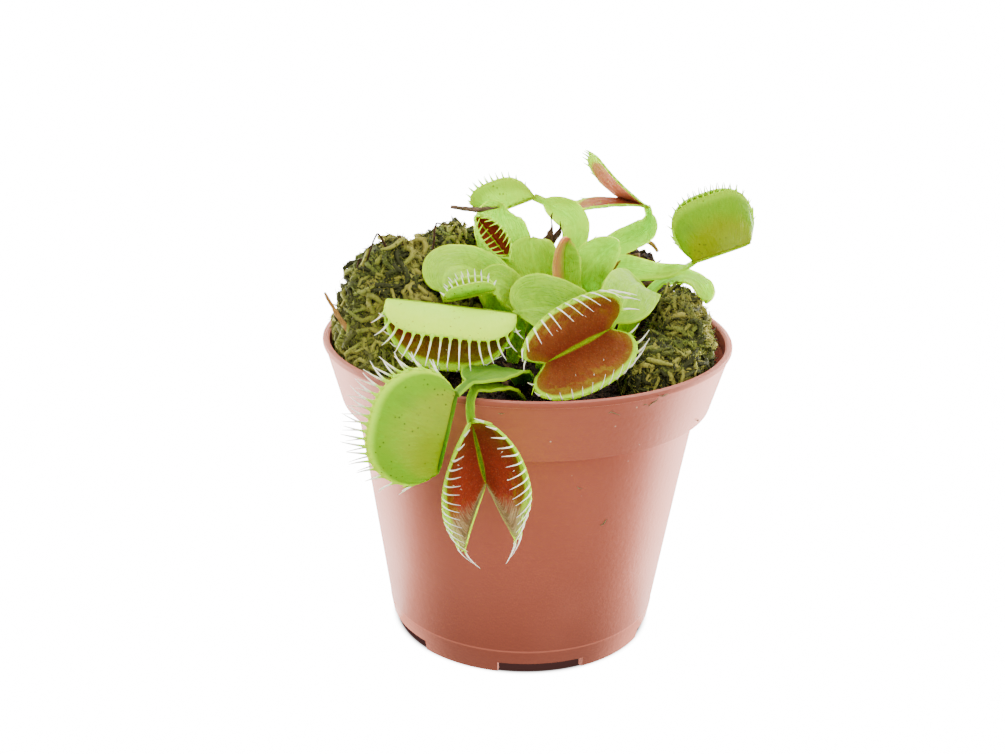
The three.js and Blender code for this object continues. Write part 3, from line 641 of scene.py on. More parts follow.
class Patchwork:
    """Collects surfaces, each with its material and the UV place of its corners."""

    def __init__(self):
        self.points, self.faces, self.slots, self.uvs = [], [], [], []

    def add(self, points, faces, uv, slot):
        first = sum(len(block) for block in self.points)
        self.points.append(points)
        for face in faces:
            self.faces.append([first + corner for corner in face])
            self.uvs.extend(uv[corner] for corner in face)
        self.slots.extend([slot] * len(faces))

    def mesh(self, name, materials, angle=60):
        mesh = new_mesh(name, row(np.concatenate(self.points)), self.faces, materials,
                        self.slots)
        layer = mesh.uv_layers.new(name=UV_NAME)
        layer.data.foreach_set("uv", np.asarray(self.uvs, dtype=float).ravel())
        soften(mesh, angle)
        mesh.validate()
        return mesh

    def skin(self, rings, poles, under=None):
        """A closed skin over rings of points, ended by a fan round each of two poles."""
        corner = grid_of(*rings.shape[:2])
        blocks = [rings.reshape(-1, 3)]
        faces = bands(corner)
        low = corner[0]
        if under is not None:
            blocks.append(under)
            low = corner.size + np.arange(len(under))
            faces += bands(np.stack([low, corner[0]]))
        points = np.concatenate([*blocks, poles])
        top = len(points) - 2
        faces += [(int(a), int(b), top) for a, b in zip(corner[-1], np.roll(corner[-1], -1))]
        faces += [(int(b), int(a), top + 1) for a, b in zip(low, np.roll(low, -1))]
        self.add(points, faces, np.zeros((len(points), 2)), 0)

    def sheet(self, grid, thickness, slots, uv):
        """Gives a grid of points a thickness; slots are the materials of front and back."""
        normals = normals_of(grid)
        half = np.broadcast_to(thickness, grid.shape[:2])[..., None] / 2
        corner = grid_of(*grid.shape[:2])
        face = squares(corner)
        ring = np.concatenate([corner[:, 0], corner[-1, 1:], corner[-2::-1, -1],
                               corner[0, -2:0:-1]])
        ahead = np.roll(ring, -1)
        points = np.concatenate([(grid + normals * half).reshape(-1, 3),
                                 (grid - normals * half).reshape(-1, 3)])
        places = np.concatenate([uv.reshape(-1, 2)] * 2)
        first = len(self.slots)
        back = (np.asarray(face)[:, ::-1] + corner.size).tolist()
        edge = quads(ring, ring + corner.size, ahead + corner.size, ahead)
        self.add(points, face + back + edge, places, slots[0])
        self.slots[first + len(face):first + 2 * len(face)] = [slots[1]] * len(face)

    def tube(self, path, radii, sides, slot=0, ridge=0.0):
        """A closed tube along points; ridge makes its section uneven."""
        path = np.asarray(path, dtype=float)
        along = unit(np.gradient(path, axis=0))
        whole = unit(path[-1] - path[0])
        reference = np.array([0, 0, 1.0]) if abs(whole[2]) < 0.7 else np.array([0, 1.0, 0])
        across = unit(np.cross(reference, along))
        up = np.cross(along, across)
        angle = ring_angles(sides)[:, None]
        swell = 1 + ridge * np.sin(3 * angle.T + np.arange(len(path))[:, None] * 0.9)
        reach = np.asarray(radii)[:, None] * swell
        ring = across[:, None] * np.cos(angle) + up[:, None] * np.sin(angle)
        points = (path[:, None] + ring * reach[..., None]).reshape(-1, 3)
        corner = grid_of(len(path), sides)
        caps = [corner[0, ::-1].tolist(), corner[-1].tolist()]
        uv = np.stack(np.meshgrid(np.linspace(0, 1, len(path)), np.linspace(0, 1, sides),
                                  indexing="ij"), -1).reshape(-1, 2)
        self.add(points, bands(corner) + caps, uv, slot)


def joined(name, meshes):
    """Several meshes as one object, their materials kept."""
    parts = [new_object(name, mesh) for mesh in meshes]
    with bpy.context.temp_override(active_object=parts[0], selected_editable_objects=parts):
        bpy.ops.object.join()
    parts[0].name = name
    return parts[0]


def settle(thing, nodes, slot):
    """Makes an object a piece of the part: it stands for CAD nodes, which it hides. slot is not
    used.
    """
    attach(thing, "root")
    if nodes:
        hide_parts(*nodes)


def piece(name, patches, materials, nodes, slot):
    """A piece of the part that is only what the patchwork holds."""
    settle(new_object(name, patches.mesh(name, materials)), nodes, slot)


def unit(vectors):
    vectors = np.asarray(vectors, dtype=float)
    return vectors / np.linalg.norm(vectors, axis=-1, keepdims=True)


def normals_of(grid):
    """The way that a grid of points faces at each of them."""
    return unit(np.cross(np.gradient(grid, axis=0), np.gradient(grid, axis=1)) + 1e-12)


def bezier(path, t):
    """The cubic curve through a base, two points a third of the way apart, and an end."""
    p0, q1, q2, p3 = (np.asarray(p, dtype=float) for p in path)
    c1 = (-5 * p0 + 18 * q1 - 9 * q2 + 2 * p3) / 6
    c2 = (2 * p0 - 9 * q1 + 18 * q2 - 5 * p3) / 6
    t = np.asarray(t)[:, None]
    s = 1 - t
    return s ** 3 * p0 + 3 * s * s * t * c1 + 3 * s * t * t * c2 + t ** 3 * p3


def along_path(path, t):
    """Points along straight stretches between the points of a path."""
    path = np.asarray(path, dtype=float)
    places = np.linspace(0, 1, len(path))
    return np.stack([np.interp(t, places, path[:, axis]) for axis in range(3)], -1)


def uneven(x, y, size, seed):
    """A smooth repeatable unevenness between -1 and 1."""
    return (np.sin(x / size + seed) * np.cos(y / size - 1.7 * seed)
            + np.sin((x + y) / (0.7 * size) + 2.3 * seed)
            * np.cos((x - y) / (0.8 * size) + seed)) / 2


def ring_angles(sectors):
    """The angles of a ring's points."""
    return np.linspace(0, 2 * np.pi, sectors, endpoint=False)


# ---------------------------------------------------------------- finishes

def pot_finish(settings):
    """Moulded plastic, rubbed paler here and there, with fine scratches and dust. Painted shade
    darkens its foot, the top of its lip and its inner wall, and a painted highlight runs along its
    ring line.
    """
    finish = Finish("terracotta_plastic", settings.plastic, Specular_IOR_Level=0.11,
                    Sheen_Weight=1.0, Sheen_Roughness=0.48, Sheen_Tint=(1.0, 0.36, 0.24, 1.0))
    cloud = finish.noise(28, 3)
    fine = finish.noise(900)
    rings = finish.grain(1, 2, (30, 30, 1400), place=finish.place)
    finish.paint(cloud.step(0.5, 0.8) * 0.55 + fine * 0.08, settings.worn_and_highlight)
    dust = 1 - finish.cells(260).step(0.0, 0.09)
    finish.paint(dust * finish.noise(60).step(0.55, 0.62) * 0.6, DUST)
    x, y, height = finish.split(finish.place)
    radius = ((x - float(POT_AXIS[0])) ** 2 + (y - float(POT_AXIS[1])) ** 2) ** 0.5
    slant = (RIM_RADIUS - COLLAR_FOOT_RADIUS) / COLLAR_HEIGHT
    up = height - COLLAR_FOOT * MM
    depth = up * slant + COLLAR_FOOT_RADIUS * MM - radius
    # inside marks the collar's inner wall, which is laid over with painted shade below
    inside = depth.step(0.00035, 0.0006) * up.step(0.0, 0.001)
    inside = inside * (1 - up.step(0.0132, 0.0135))
    lip = up.step(0.0123, 0.0131)
    # painted shade: darker towards the foot, where less light comes from below, and on the top of
    # the lip, against the light it catches
    low = (1 - (height + cloud * 0.006).step(0.0, 0.04)) * 0.9
    finish.paint(low + lip * 0.4, darker(settings.plastic, 0.55))
    # painted shade: the inner wall made darker and without sheen
    finish.overlay(inside, darker(settings.plastic, 0.25), 0.6)
    # painted highlight: a paler thin line along the ledge of the ring line, in the rubbed colour
    line = 1 - abs(height - RING_LINE_HEIGHT * MM).step(0.0001, 0.00028)
    finish.paint(line * 0.5, settings.worn_and_highlight)
    specks = (1 - finish.cells(330).step(0.03, 0.08)) * (height * 12 + cloud).step(0.9, 1.25)
    finish.paint(specks * 0.8, DUST_SPECK)
    finish.bump(fine * 0.35 + rings * 0.25, 0.00012)
    return finish.done(Roughness=0.38 + cloud * 0.12 + lip * 0.3)


def peat_finish(settings):
    """Damp peat: nearly black, with browner fibres."""
    finish = Finish("damp_peat", settings.peat)
    grain = finish.noise(1500, 4)
    finish.paint(grain.step(0.4, 0.8), mixed(settings.peat, DUST, 0.5))
    finish.paint(finish.attribute("tint").step(0.72, 1.0), PALE_CRUMB)
    finish.bump(grain, 0.0006)
    return finish.done(Roughness=0.55 + grain * 0.4)


def moss_finish(name, settings, low_painted_light=0.0):
    """Matted moss: green, golden or nearly black from strand to strand, with painted shade, nearly
    black, on the lumps beneath the strands, and where asked painted light that makes it paler and
    more golden low down.
    """
    # painted shade: the lumps carry no tint and so stay mostly dark, while some strands stay dark
    # as their own tone
    finish = Finish(name, settings.dark)
    tint = finish.attribute("tint")
    cloud = finish.noise(70, 3)
    grain = finish.noise(2200, 3)
    finish.paint((tint * 0.6 + grain * 0.5).step(0.35, 0.8), settings.green)
    finish.paint((cloud * 1.1 + tint * 0.5 - 0.45).step(0.25, 0.62), settings.gold)
    height = finish.split(finish.place)[2]
    # painted light: the low part of the cushion made paler and more golden
    low = (1 - (height + cloud * 0.01).step(0.07, 0.09)) * (tint * 0.6 + 0.4) * low_painted_light
    finish.paint(low, mixed(settings.gold, settings.green, 0.4))
    finish.bump(grain, 0.0003)
    return finish.done(Roughness=0.55 + grain * 0.35)


def bark_finish(name, dark, light):
    """Dry litter with a lengthwise grain."""
    finish = Finish(name, dark, Roughness=0.8)
    finish.across()
    grain = finish.grain(6, 4, (2, 9, 1))
    finish.paint(grain.step(0.3, 0.75), light)
    finish.bump(grain, 0.0004)
    return finish.done()


def blade_finish(name, settings, tone=0.0, edge=None):
    """A fresh leaf stalk: veined, paler at its rib and edges. tone below 0 paints shade on it, and
    tone above 0 paints light.
    """
    # painted shade towards LEAF_SHADE and painted light towards pale, by the leaf's tone
    dark, bright = max(-tone, 0), max(tone, 0)
    deep = mixed(mixed(settings.blade, LEAF_SHADE, dark * 0.85), settings.lime, bright * 0.7)
    light = mixed(mixed(settings.blade_light, LEAF_SHADE, dark * 0.75), settings.pale, bright)
    finish = Finish(name, deep, Subsurface_Weight=0.6, Subsurface_Scale=0.003,
                    Subsurface_Radius=LEAF_RADIUS)
    along, over = finish.across()
    off_rib = abs(over - 0.5)
    cloud = finish.noise(95, 3)
    veins = finish.grain(4.5, 3, (3, 8, 1), bend=0.6)
    net = abs(finish.noise(260, 2, bend=0.8) - 0.5).step(0.0, 0.12)
    mask = cloud.step(0.3, 0.75) * 0.55 + off_rib.step(0.25, 0.5) * 0.3 + veins * 0.15
    finish.paint(mask + net * 0.3 - 0.12, light)
    finish.paint((1 - off_rib.step(0.015, 0.07)) * 0.5, light)
    finish.paint(off_rib.step(0.455, 0.497) * 0.55, settings.lime)
    if edge:
        side = 1 - (over + cloud * 0.2).step(0.2, 0.72) + along.step(0.9, 1.0) * 0.6
        finish.paint(side * 0.9, edge)
    finish.bump(veins * 0.8 + finish.noise(900) * 0.2 + off_rib.step(0.0, 0.08) * 0.4, 0.0005)
    return finish.done(Roughness=0.34 + cloud * 0.16)


def lobe_inside_finish(name, settings, flesh, far=None, rim=0.88, start=0.7, withered=0.0):
    """The inside of a lobe: coloured flesh, green along the hinge, lime at the margin."""
    finish = Finish(name, darker(flesh, 0.25), Specular_IOR_Level=0.01, Subsurface_Weight=0.08,
                    Subsurface_Scale=0.0015)
    along, out = finish.across()
    glands = finish.cells(1900)
    cloud = finish.noise(130, 3)
    ends = abs(along - 0.5) * 2
    finish.paint(cloud.step(0.3, 0.75), mixed(flesh, settings.orange, 0.35))
    if far:
        finish.paint((along + cloud * 0.25).step(start, start + 0.35), far)
    finish.paint(finish.grain(6, 2, (11, 0.8, 1)).step(0.48, 0.7) * 0.45,
                 darker(settings.red, 0.4))
    gold = finish.noise(420).step(0.5, 0.64) * (out + cloud * 0.2).step(0.5, 0.95)
    finish.paint(gold * 0.4, mixed(flesh, settings.yellow, 0.3))
    hot = (1 - (out + cloud * 0.2).step(0.1, 0.6)) * (cloud + 0.3).clipped()
    finish.paint(hot, darker(settings.red, 0.5))
    fringe = (out + cloud * 0.12).step(rim - 0.22, rim + 0.02) + ends.step(0.72, 0.98)
    finish.paint(fringe * 0.7, mixed(flesh, settings.olive_edge, 0.6))
    finish.paint((1 - glands.step(0.0, 0.3)) * 0.35, mixed(flesh, GLAND, 0.25))
    finish.paint((out + cloud * 0.1).step(rim, rim + 0.1) + ends.step(0.96, 1.0) * 0.7,
                 settings.lime)
    finish.paint((1 - (out + cloud * 0.04).step(0.03, 0.085)) * 0.9,
                 mixed(settings.blade, settings.lime, 0.4))
    if withered:
        fibres = finish.grain(5, 3, (2, 9, 1), bend=0.5)
        dry = (along + fibres * 0.16 + out * 0.3).step(1.04, 1.16)
        finish.paint(dry * withered, finish.blend(fibres.step(0.4, 0.6),
                                                  darker(settings.straw, 0.5), settings.straw))
    finish.bump(glands * 0.5 + cloud * 0.5, 0.00025)
    return finish.done(Roughness=0.45 + cloud * 0.25)


def lobe_outside_finish(name, settings, middle, margin, edge, blot=None):
    """The back of a lobe: pale in the middle, greener outwards, specked, a bright margin."""
    finish = Finish(name, middle, Subsurface_Weight=0.4, Subsurface_Scale=0.002,
                    Subsurface_Radius=LEAF_RADIUS)
    along, out = finish.across()
    cloud = finish.noise(105)
    ends = abs(along - 0.5) * 2
    finish.paint((out + ends * ends * 0.35 + cloud * 0.35 - 0.17).step(0.45, 0.85), margin)
    if blot:
        near_hinge = (1 - (out + cloud * 0.3 - 0.15).step(0.2, 0.6)) * along.step(0.35, 0.65)
        finish.paint(near_hinge * 0.85, blot)
        shade = finish.noise(75, 2, bend=0.4).step(0.55, 0.7) * (1 - along.step(0.2, 0.5))
        finish.paint(shade * 0.5, settings.shaded)
    finish.paint(out.step(0.84, 0.97) * 0.85, edge)
    specks = (1 - finish.cells(900).step(0.08, 0.24)) * finish.noise(200).step(0.45, 0.55)
    finish.paint(specks * 0.7, SPECK)
    finish.bump(finish.grain(5, 2, (9, 1.2, 1)) * 0.5 + finish.noise(700) * 0.3, 0.0003)
    return finish.done(Roughness=0.38 + cloud * 0.15)


def tooth_finish(name, root, tip):
    """Teeth: green at the root and paler from there to the tip."""
    finish = Finish(name, root, Roughness=0.35, Subsurface_Weight=0.1, Subsurface_Scale=0.001)
    finish.paint(finish.attribute("reach").step(0.2, 0.5), tip)
    return finish.done()


# ---------------------------------------------------------------- pot

def body_radius(height, foot=COLLAR_FOOT):
    """The radius of the pot's body at a height; foot is where its collar starts."""
    return BASE_RADIUS + (BODY_TOP_RADIUS - BASE_RADIUS) * height / foot


def pot_profile(rim, height):
    """Radius and height from the underside of the floor, round the wall, to the floor's top."""
    foot = height - COLLAR_HEIGHT
    lip = height - LIP_HEIGHT
    step = foot + WALL
    line = RING_LINE_HEIGHT
    below, at, above = (body_radius(z, foot) for z in (line - 0.3, line, line + 0.3))
    return [
        (0, FLOOR_HEIGHT), (BASE_RADIUS - WALL - 0.3, FLOOR_HEIGHT),
        (BASE_RADIUS - WALL - 0.3, 0), (BASE_RADIUS - 0.3, 0), (BASE_RADIUS, 0.3),
        (below + 0.12, line - 0.3), (at + 0.1, line), (above, line + 0.16),
        (body_radius(20, foot), 20), (body_radius(38, foot), 38),
        (BODY_TOP_RADIUS - 0.02, foot - 1.2), (BODY_TOP_RADIUS + 0.1, foot - 0.35),
        (BODY_TOP_RADIUS + 0.5, foot), (COLLAR_FOOT_RADIUS - 0.45, foot),
        (COLLAR_FOOT_RADIUS - 0.1, foot + 0.14), (COLLAR_FOOT_RADIUS + 0.03, foot + 0.5),
        (rim - 0.45, lip - 0.15), (rim - 0.38, lip), (rim - 0.08, lip + 0.15),
        (rim, lip + 0.35), (rim, height - 0.5), (rim - 0.2, height - 0.16), (rim - 0.8, height),
        (rim - 1.1, height), (rim - 1.4, height - 0.25), (rim - 1.55, height - 0.8),
        (rim - LIP_INSET, height - LIP_DROP), (rim - 1.6, height - 3.5),
        (rim - 1.95, height - 3.9), (INSIDE_RADIUS, step), (BODY_TOP_RADIUS - WALL, step - 1),
        (body_radius(FLOOR_TOP, foot) - WALL, FLOOR_TOP), (0, FLOOR_TOP),
    ]


def turned(name, profile, segments):
    """A closed turned mesh from a profile whose two ends lie on the pot's axis."""
    points, rings = [], []
    for radius, z in profile:
        count = segments if radius > 0 else 1
        rings.append((len(points), count))
        points.extend((radius * math.cos(a), radius * math.sin(a), z)
                      for a in ring_angles(segments)[:count])
    faces = []
    for (low, low_count), (high, high_count) in zip(rings, rings[1:]):
        for k in range(segments):
            n = (k + 1) % segments
            if low_count == 1:
                faces.append((low, high + n, high + k))
            elif high_count == 1:
                faces.append((low + k, low + n, high))
            else:
                faces.append((low + k, low + n, high + n, high + k))
    return new_mesh(name, row(points), faces)


def foot_cutters():
    """The air of the drainage notches and holes, as one mesh."""
    shape = bmesh.new()
    half = math.radians(NOTCH_HALF_ANGLE)
    near, far = NOTCH_RADII
    for k in range(NOTCH_COUNT):
        middle = math.radians(NOTCH_MIDDLE + 360 * k / NOTCH_COUNT - 90)
        below, above = (
            [shape.verts.new(row((r * math.cos(middle + a), r * math.sin(middle + a), z)))
             for r, a in ((near, -half), (far, -half), (far, half), (near, half))]
            for z in (NOTCH_LOW, NOTCH_HEIGHT))
        shape.faces.new(below[::-1])
        shape.faces.new(above)
        for a in range(4):
            b = (a + 1) % 4
            shape.faces.new((below[a], below[b], above[b], above[a]))
        centre = row((DRAIN_CIRCLE * math.cos(middle), DRAIN_CIRCLE * math.sin(middle),
                      DRAIN_MIDDLE))
        bmesh.ops.create_cone(shape, cap_ends=True, segments=32, radius1=DRAIN_RADIUS * MM,
                              radius2=DRAIN_RADIUS * MM, depth=DRAIN_LENGTH * MM,
                              matrix=Matrix.Translation(centre))
    mesh = bpy.data.meshes.new("foot_cutters")
    shape.to_mesh(mesh)
    shape.free()
    return mesh


def make_pot(settings):
    profile = pot_profile(settings.rim_diameter / 2 / MM, settings.height / MM)
    blank = new_object("pot_blank", turned("pot_blank", profile, 192))
    cutter = new_object("pot_cutter", foot_cutters())
    cut = blank.modifiers.new("notches", "BOOLEAN")
    cut.object = cutter
    cut.operation = "DIFFERENCE"
    cut.solver = "EXACT"
    mesh = evaluated(blank)
    for spare in (blank, cutter):
        bpy.data.objects.remove(spare)
    mesh.materials.clear()
    mesh.materials.append(pot_finish(settings))
    soften(mesh, 32)
    settle(new_object("nursery_pot", mesh), ["pot"], "pot_plastic")


def wall_point(angle, height, lift=0.0):
    """A point on the outside of the pot, by the angle from its front and the height."""
    radius = np.interp(height, *COLLAR_OUTLINE) if height >= COLLAR_FOOT else body_radius(height)
    turn = math.radians(angle - 90)
    return [(radius + lift) * math.cos(turn), (radius + lift) * math.sin(turn), height]


def make_pot_litter():
    """Flecks of dry moss and peat that stick to the pot and its lip."""
    patches = Patchwork()
    draw = np.random.default_rng(8)
    t = np.linspace(0, 1, 9)
    spots = [(*spot, draw.uniform(0.8, 2.6)) for spot in POT_FLECKS]
    for angle, height, length in spots:
        lean = draw.uniform(-0.8, 0.8)
        curl = draw.uniform(-0.5, 0.5)
        path = []
        for share in t:
            across = length * (share - 0.5)
            swing = curl * math.sin(share * 5)
            path.append(wall_point(
                angle + math.degrees(across * math.cos(lean) / FLECK_RADIUS),
                min(height + across * math.sin(lean) + swing, FLECK_TOP),
                0.1 + 0.25 * abs(curl) * math.sin(share * 3)))
        patches.tube(path, 0.12 * (1.3 - abs(2 * t - 1)), 6, ridge=0.3)
    piece("pot_flecks", patches, [bark_finish("dry_fleck", *DRY_FLECK)], [], "moss")


# ---------------------------------------------------------------- peat and moss

def lump(patches, shape, rings, sectors, shrink, most):
    """A closed lump over an oval: steep sides, a rounded back and a knobbly skin."""
    seed, foot, turn = shape["seed"], shape.get("foot", MOSS_FOOT), shape["turn"]
    fraction = np.linspace(1, 0, rings + 1)[:-1, None] ** 0.8
    angle = ring_angles(sectors)[None, :]
    edge = 1 + 0.05 * np.sin(5 * angle + seed) + 0.03 * np.sin(9 * angle - seed)
    across, along = ((radius - shrink) * fraction * edge * way
                     for radius, way in zip(shape["radii"], (np.cos(angle), np.sin(angle))))
    x = shape["centre"][0] + across * math.cos(turn) - along * math.sin(turn)
    y = shape["centre"][1] + across * math.sin(turn) + along * math.cos(turn)
    held = np.minimum(1, (most - shrink) / np.hypot(x, y))
    x, y = x * held, y * held
    bumps = COARSE_BUMPS * uneven(x, y, 2.4, seed) + FINE_BUMPS * uneven(x, y, 0.7, seed + 1)
    back = (1 - fraction ** shape.get("slope", 3)) ** shape.get("power", 0.5)
    z = (foot + LUMP_SIDE - shrink + (shape["tall"] - LUMP_SIDE) * back
         + bumps * (1 - fraction ** 6))
    patches.skin(np.stack([x, y, z], -1),
                 [[*shape["centre"], z[-1].mean()], [*shape["centre"], foot]],
                 np.stack([x[0], y[0], np.full(sectors, foot)], -1))


def peat_body(patches, rings=44, sectors=132):
    """The peat that fills the pot, with a crumbled top."""
    wall = [(body_radius(FLOOR_TOP) - WALL - GAP, FLOOR_TOP + GAP),
            (BODY_TOP_RADIUS - WALL - GAP, COLLAR_FOOT + 0.5),
            (INSIDE_RADIUS - GAP, COLLAR_FOOT + WALL + 0.35)]
    radius = np.concatenate([[r for r, _ in wall], np.linspace(PEAT_REACH + 0.4, 1, rings)])
    x = radius[:, None] * np.cos(ring_angles(sectors))
    y = radius[:, None] * np.sin(ring_angles(sectors))
    z = PEAT_LEVEL + 0.55 * uneven(x, y, 3.1, 2) + 0.35 * uneven(x, y, 1.1, 3)
    for level, (_, height) in enumerate(wall):
        z[level] = height
    patches.skin(np.stack([x, y, z], -1), [[0, 0, PEAT_LEVEL], [0, 0, wall[0][1]]])


def strand_shapes(growth, slimness):
    """Four curled strands, each as long as the unit."""
    for phase, curl, hump in ((0.0, 0.2, 0.34), (1.9, 0.3, 0.2), (3.7, 0.14, 0.5),
                              (5.1, 0.36, 0.28)):
        line = growth.out("GeometryNodeCurvePrimitiveLine", Start=(-0.5, 0, 0), End=(0.5, 0, 0))
        finer = growth.out("GeometryNodeResampleCurve", Curve=line, Count=9)
        share = growth.wire("GeometryNodeSplineParameter")
        swing = (share * 7.0 + phase).sine() * curl
        rise = (share * (1 - share) * 4 - 0.35) * hump + (share * 11.0 - phase).sine() * 0.05
        offset = growth.out("ShaderNodeCombineXYZ", Y=swing, Z=rise)
        bent = growth.out("GeometryNodeSetPosition", Geometry=finer, Offset=offset)
        ring = growth.out("GeometryNodeCurvePrimitiveCircle", Resolution=4, Radius=slimness / 2)
        yield growth.out("GeometryNodeCurveToMesh", Curve=bent, Profile_Curve=ring,
                         Scale=share * (1 - share) * 2.2 + 0.45, Fill_Caps=True)


def leaflet_shapes(growth):
    """Two tiny pointed leaflets."""
    for width, flatness in ((0.13, 0.5), (0.19, 0.35)):
        cone = growth.out("GeometryNodeMeshCone", Vertices=3, Side_Segments=1, Radius_Top=0.0,
                          Radius_Bottom=width, Depth=1.0)
        yield growth.out("GeometryNodeTransform", Geometry=cone, Translation=(0, 0, -0.15),
                         Scale=(1, flatness, 1))


def crumb_shapes(growth):
    """Crumbs of three shapes."""
    for salt, stretch in ((1, (1, 0.7, 0.6)), (2, (0.8, 1, 0.5)), (3, (1.8, 0.35, 0.3))):
        ball = growth.out("GeometryNodeMeshIcoSphere", Radius=0.5, Subdivisions=1)
        jitter = growth.out("FunctionNodeRandomValue", {"data_type": "FLOAT_VECTOR"},
                            {0: (-0.14,) * 3, 1: (0.14,) * 3, 8: salt})
        rough = growth.out("GeometryNodeSetPosition", Geometry=ball, Offset=jitter)
        yield growth.out("GeometryNodeTransform", Geometry=rough, Scale=stretch)


def strewn(name, shapes, mesh, material, low, tilt, sizes, **values):
    """Shapes strewn over a mesh's upper faces, above a height, each turned at random."""
    growth = Growth(name, Density="Float", Size="Float", Seed="Int")
    join = growth.node("GeometryNodeJoinGeometry")
    for shape in shapes(growth):
        growth.feed(join.inputs[0], growth.out("GeometryNodeGeometryToInstance", Geometry=shape))
    facing = growth.split(growth.out("GeometryNodeInputNormal"))[2]
    height = growth.split(growth.out("GeometryNodeInputPosition"))[2]
    points = growth.node("GeometryNodeDistributePointsOnFaces", Mesh=growth.given["Geometry"],
                         Selection=height.above(low) * facing.above(STEEPEST),
                         Density=growth.number("Density"), Seed=growth.given["Seed"])
    spin = growth.random("FLOAT_VECTOR", (-tilt, -tilt, 0.0), (tilt, tilt, 2 * math.pi), 11)
    spin = growth.out("FunctionNodeEulerToRotation", None, {0: spin})
    rotation = growth.out("FunctionNodeRotateRotation", {"rotation_space": "LOCAL"},
                          {0: points.outputs["Rotation"], 1: spin})
    scale = Wire(growth, growth.random("FLOAT", *sizes, 12)) * growth.number("Size")
    instances = growth.out("GeometryNodeInstanceOnPoints", Points=points.outputs["Points"],
                           Instance=join.outputs[0], Pick_Instance=True,
                           Instance_Index=growth.random("INT", 0, 99, 13), Rotation=rotation,
                           Scale=scale)
    tint = growth.random("FLOAT", 0.0, 1.0, 14)
    growth.finish(growth.store(instances, "tint", tint, domain="INSTANCE"), material)
    return growth.run(mesh, **values)


def kept_inside(mesh):
    """Pushes back the points of a mesh that would poke through the pot's wall."""
    points = np.empty(len(mesh.vertices) * 3)
    mesh.vertices.foreach_get("co", points)
    points = points.reshape(-1, 3) / MM - POT_AXIS / MM
    rise = (points[:, 2] - COLLAR_FOOT - WALL) / (COLLAR_HEIGHT - WALL - LIP_DROP)
    wall = INSIDE_RADIUS + (RIM_RADIUS - LIP_INSET - INSIDE_RADIUS) * np.clip(rise, 0, 1) - GAP
    away = np.hypot(points[:, 0], points[:, 1])
    caught = (away > wall) & (points[:, 2] < POT_HEIGHT + 1)
    points[caught, :2] *= (wall / away)[caught, None]
    mesh.vertices.foreach_set("co", ((points + POT_AXIS / MM) * MM).ravel())
    mesh.update()
    return mesh


def make_moss(name, node, shapes, settings, material):
    """One cushion: dark lumps matted with strands, and leaflets that bristle from them all."""
    patches = Patchwork()
    for shape in shapes:
        lump(patches, shape, 30, 84, 1.0, MOSS_REACH)
    body = patches.mesh(name, [material], angle=180)
    low = (PEAT_TOP + 1) * MM
    slimness = settings.thickness / settings.strand
    ropes = strewn("moss_strands", lambda growth: strand_shapes(growth, slimness), body, material,
                   low, 0.5, (0.5, 1.25), Density=settings.strands * PER_CM2,
                   Size=settings.strand, Seed=settings.seed)
    matted = joined(name, [body, kept_inside(ropes)])
    fuzz = strewn("moss_leaflets", leaflet_shapes, matted.data, material, low, 1.1, (0.5, 1.4),
                  Density=settings.leaflets * PER_CM2, Size=settings.leaflet,
                  Seed=settings.seed + 5)
    settle(matted, [node], "moss")
    settle(new_object(name + "_leaflets", kept_inside(fuzz)), [], "moss")


def make_peat(settings):
    material = peat_finish(settings)
    patches = Patchwork()
    peat_body(patches)
    lump(patches, PEAT_HEAP, 26, 72, 0.4, PEAT_REACH)
    body = patches.mesh("peat_filling", [material], angle=180)
    crumbs = strewn("peat_crumbs", crumb_shapes, body, material, (PEAT_TOP - 3) * MM, 0.6,
                    (0.25, 1.3), Density=settings.crumbs * PER_CM2, Size=settings.crumb,
                    Seed=settings.seed)
    settle(joined("peat_filling", [body, crumbs]), ["peat"], "peat")


def make_litter():
    """The twig, the stick, the dead leaves and the roots."""
    barks = {"brown": bark_finish("brown_bark", *BROWN_BARK),
             "tan": bark_finish("tan_twig", *TAN_BARK)}
    t = np.linspace(0, 1, 22)
    for name, node, path, width, bark, slot in STICKS:
        patches = Patchwork()
        radii = width * (1.05 - 0.55 * t ** 2) * (1 + 0.12 * np.sin(t * 23))
        patches.tube(bezier(along_path(path, np.linspace(0, 1, 4)), t), radii, 10, ridge=0.16)
        piece(name, patches, [barks[bark]], [node], slot)
    patches = Patchwork()
    for index, (foot, tip) in enumerate(DEAD_STALKS):
        path = np.linspace(foot, tip, len(t))
        path += np.stack([np.sin(t * 7 + index), np.cos(t * 5 + index * 2), 0 * t], -1) * 0.7
        radii = (0.5 + 0.3 * np.sin(t * 9 + index)) * (1.2 - t ** 3)
        patches.tube(path, radii, 8, index % 2, ridge=0.3)
    piece("dead_stalks", patches, barks.values(), [], "dead_leaf")
    patches = Patchwork()
    for ends in np.asarray(ROOTS, dtype=float):
        first, peak, last = ends
        middle = (end + (peak - end) * 0.8 for end in (first, last))
        patches.tube(bezier([first, *middle, last], t), 0.24 * (1.1 - 0.5 * t), 6, ridge=0.2)
    piece("moss_roots", patches, [barks["brown"]], [], "bark")


# ---------------------------------------------------------------- leaves

def stalk_half_width(leaf, t):
    """Half the stalk's width: a narrow foot, broad shoulders near the trap, the bare stalk."""
    widest = leaf.get("widest", 0.72)
    end = leaf.get("end", 0.95 if "trap" in leaf else 1)
    more = leaf["width"] / 2 - STALK_FOOT_HALF_WIDTH
    rise = np.sin(np.pi / 2 * np.clip(t / widest, 0, 1)) ** 1.6
    past = np.clip((t - widest) / (end - widest), 0, 1)
    least = STALK_HALF_WIDTH if "trap" in leaf else 0.3
    return np.maximum((STALK_FOOT_HALF_WIDTH + more * rise) * np.sqrt(1 - past ** 2.6), least)


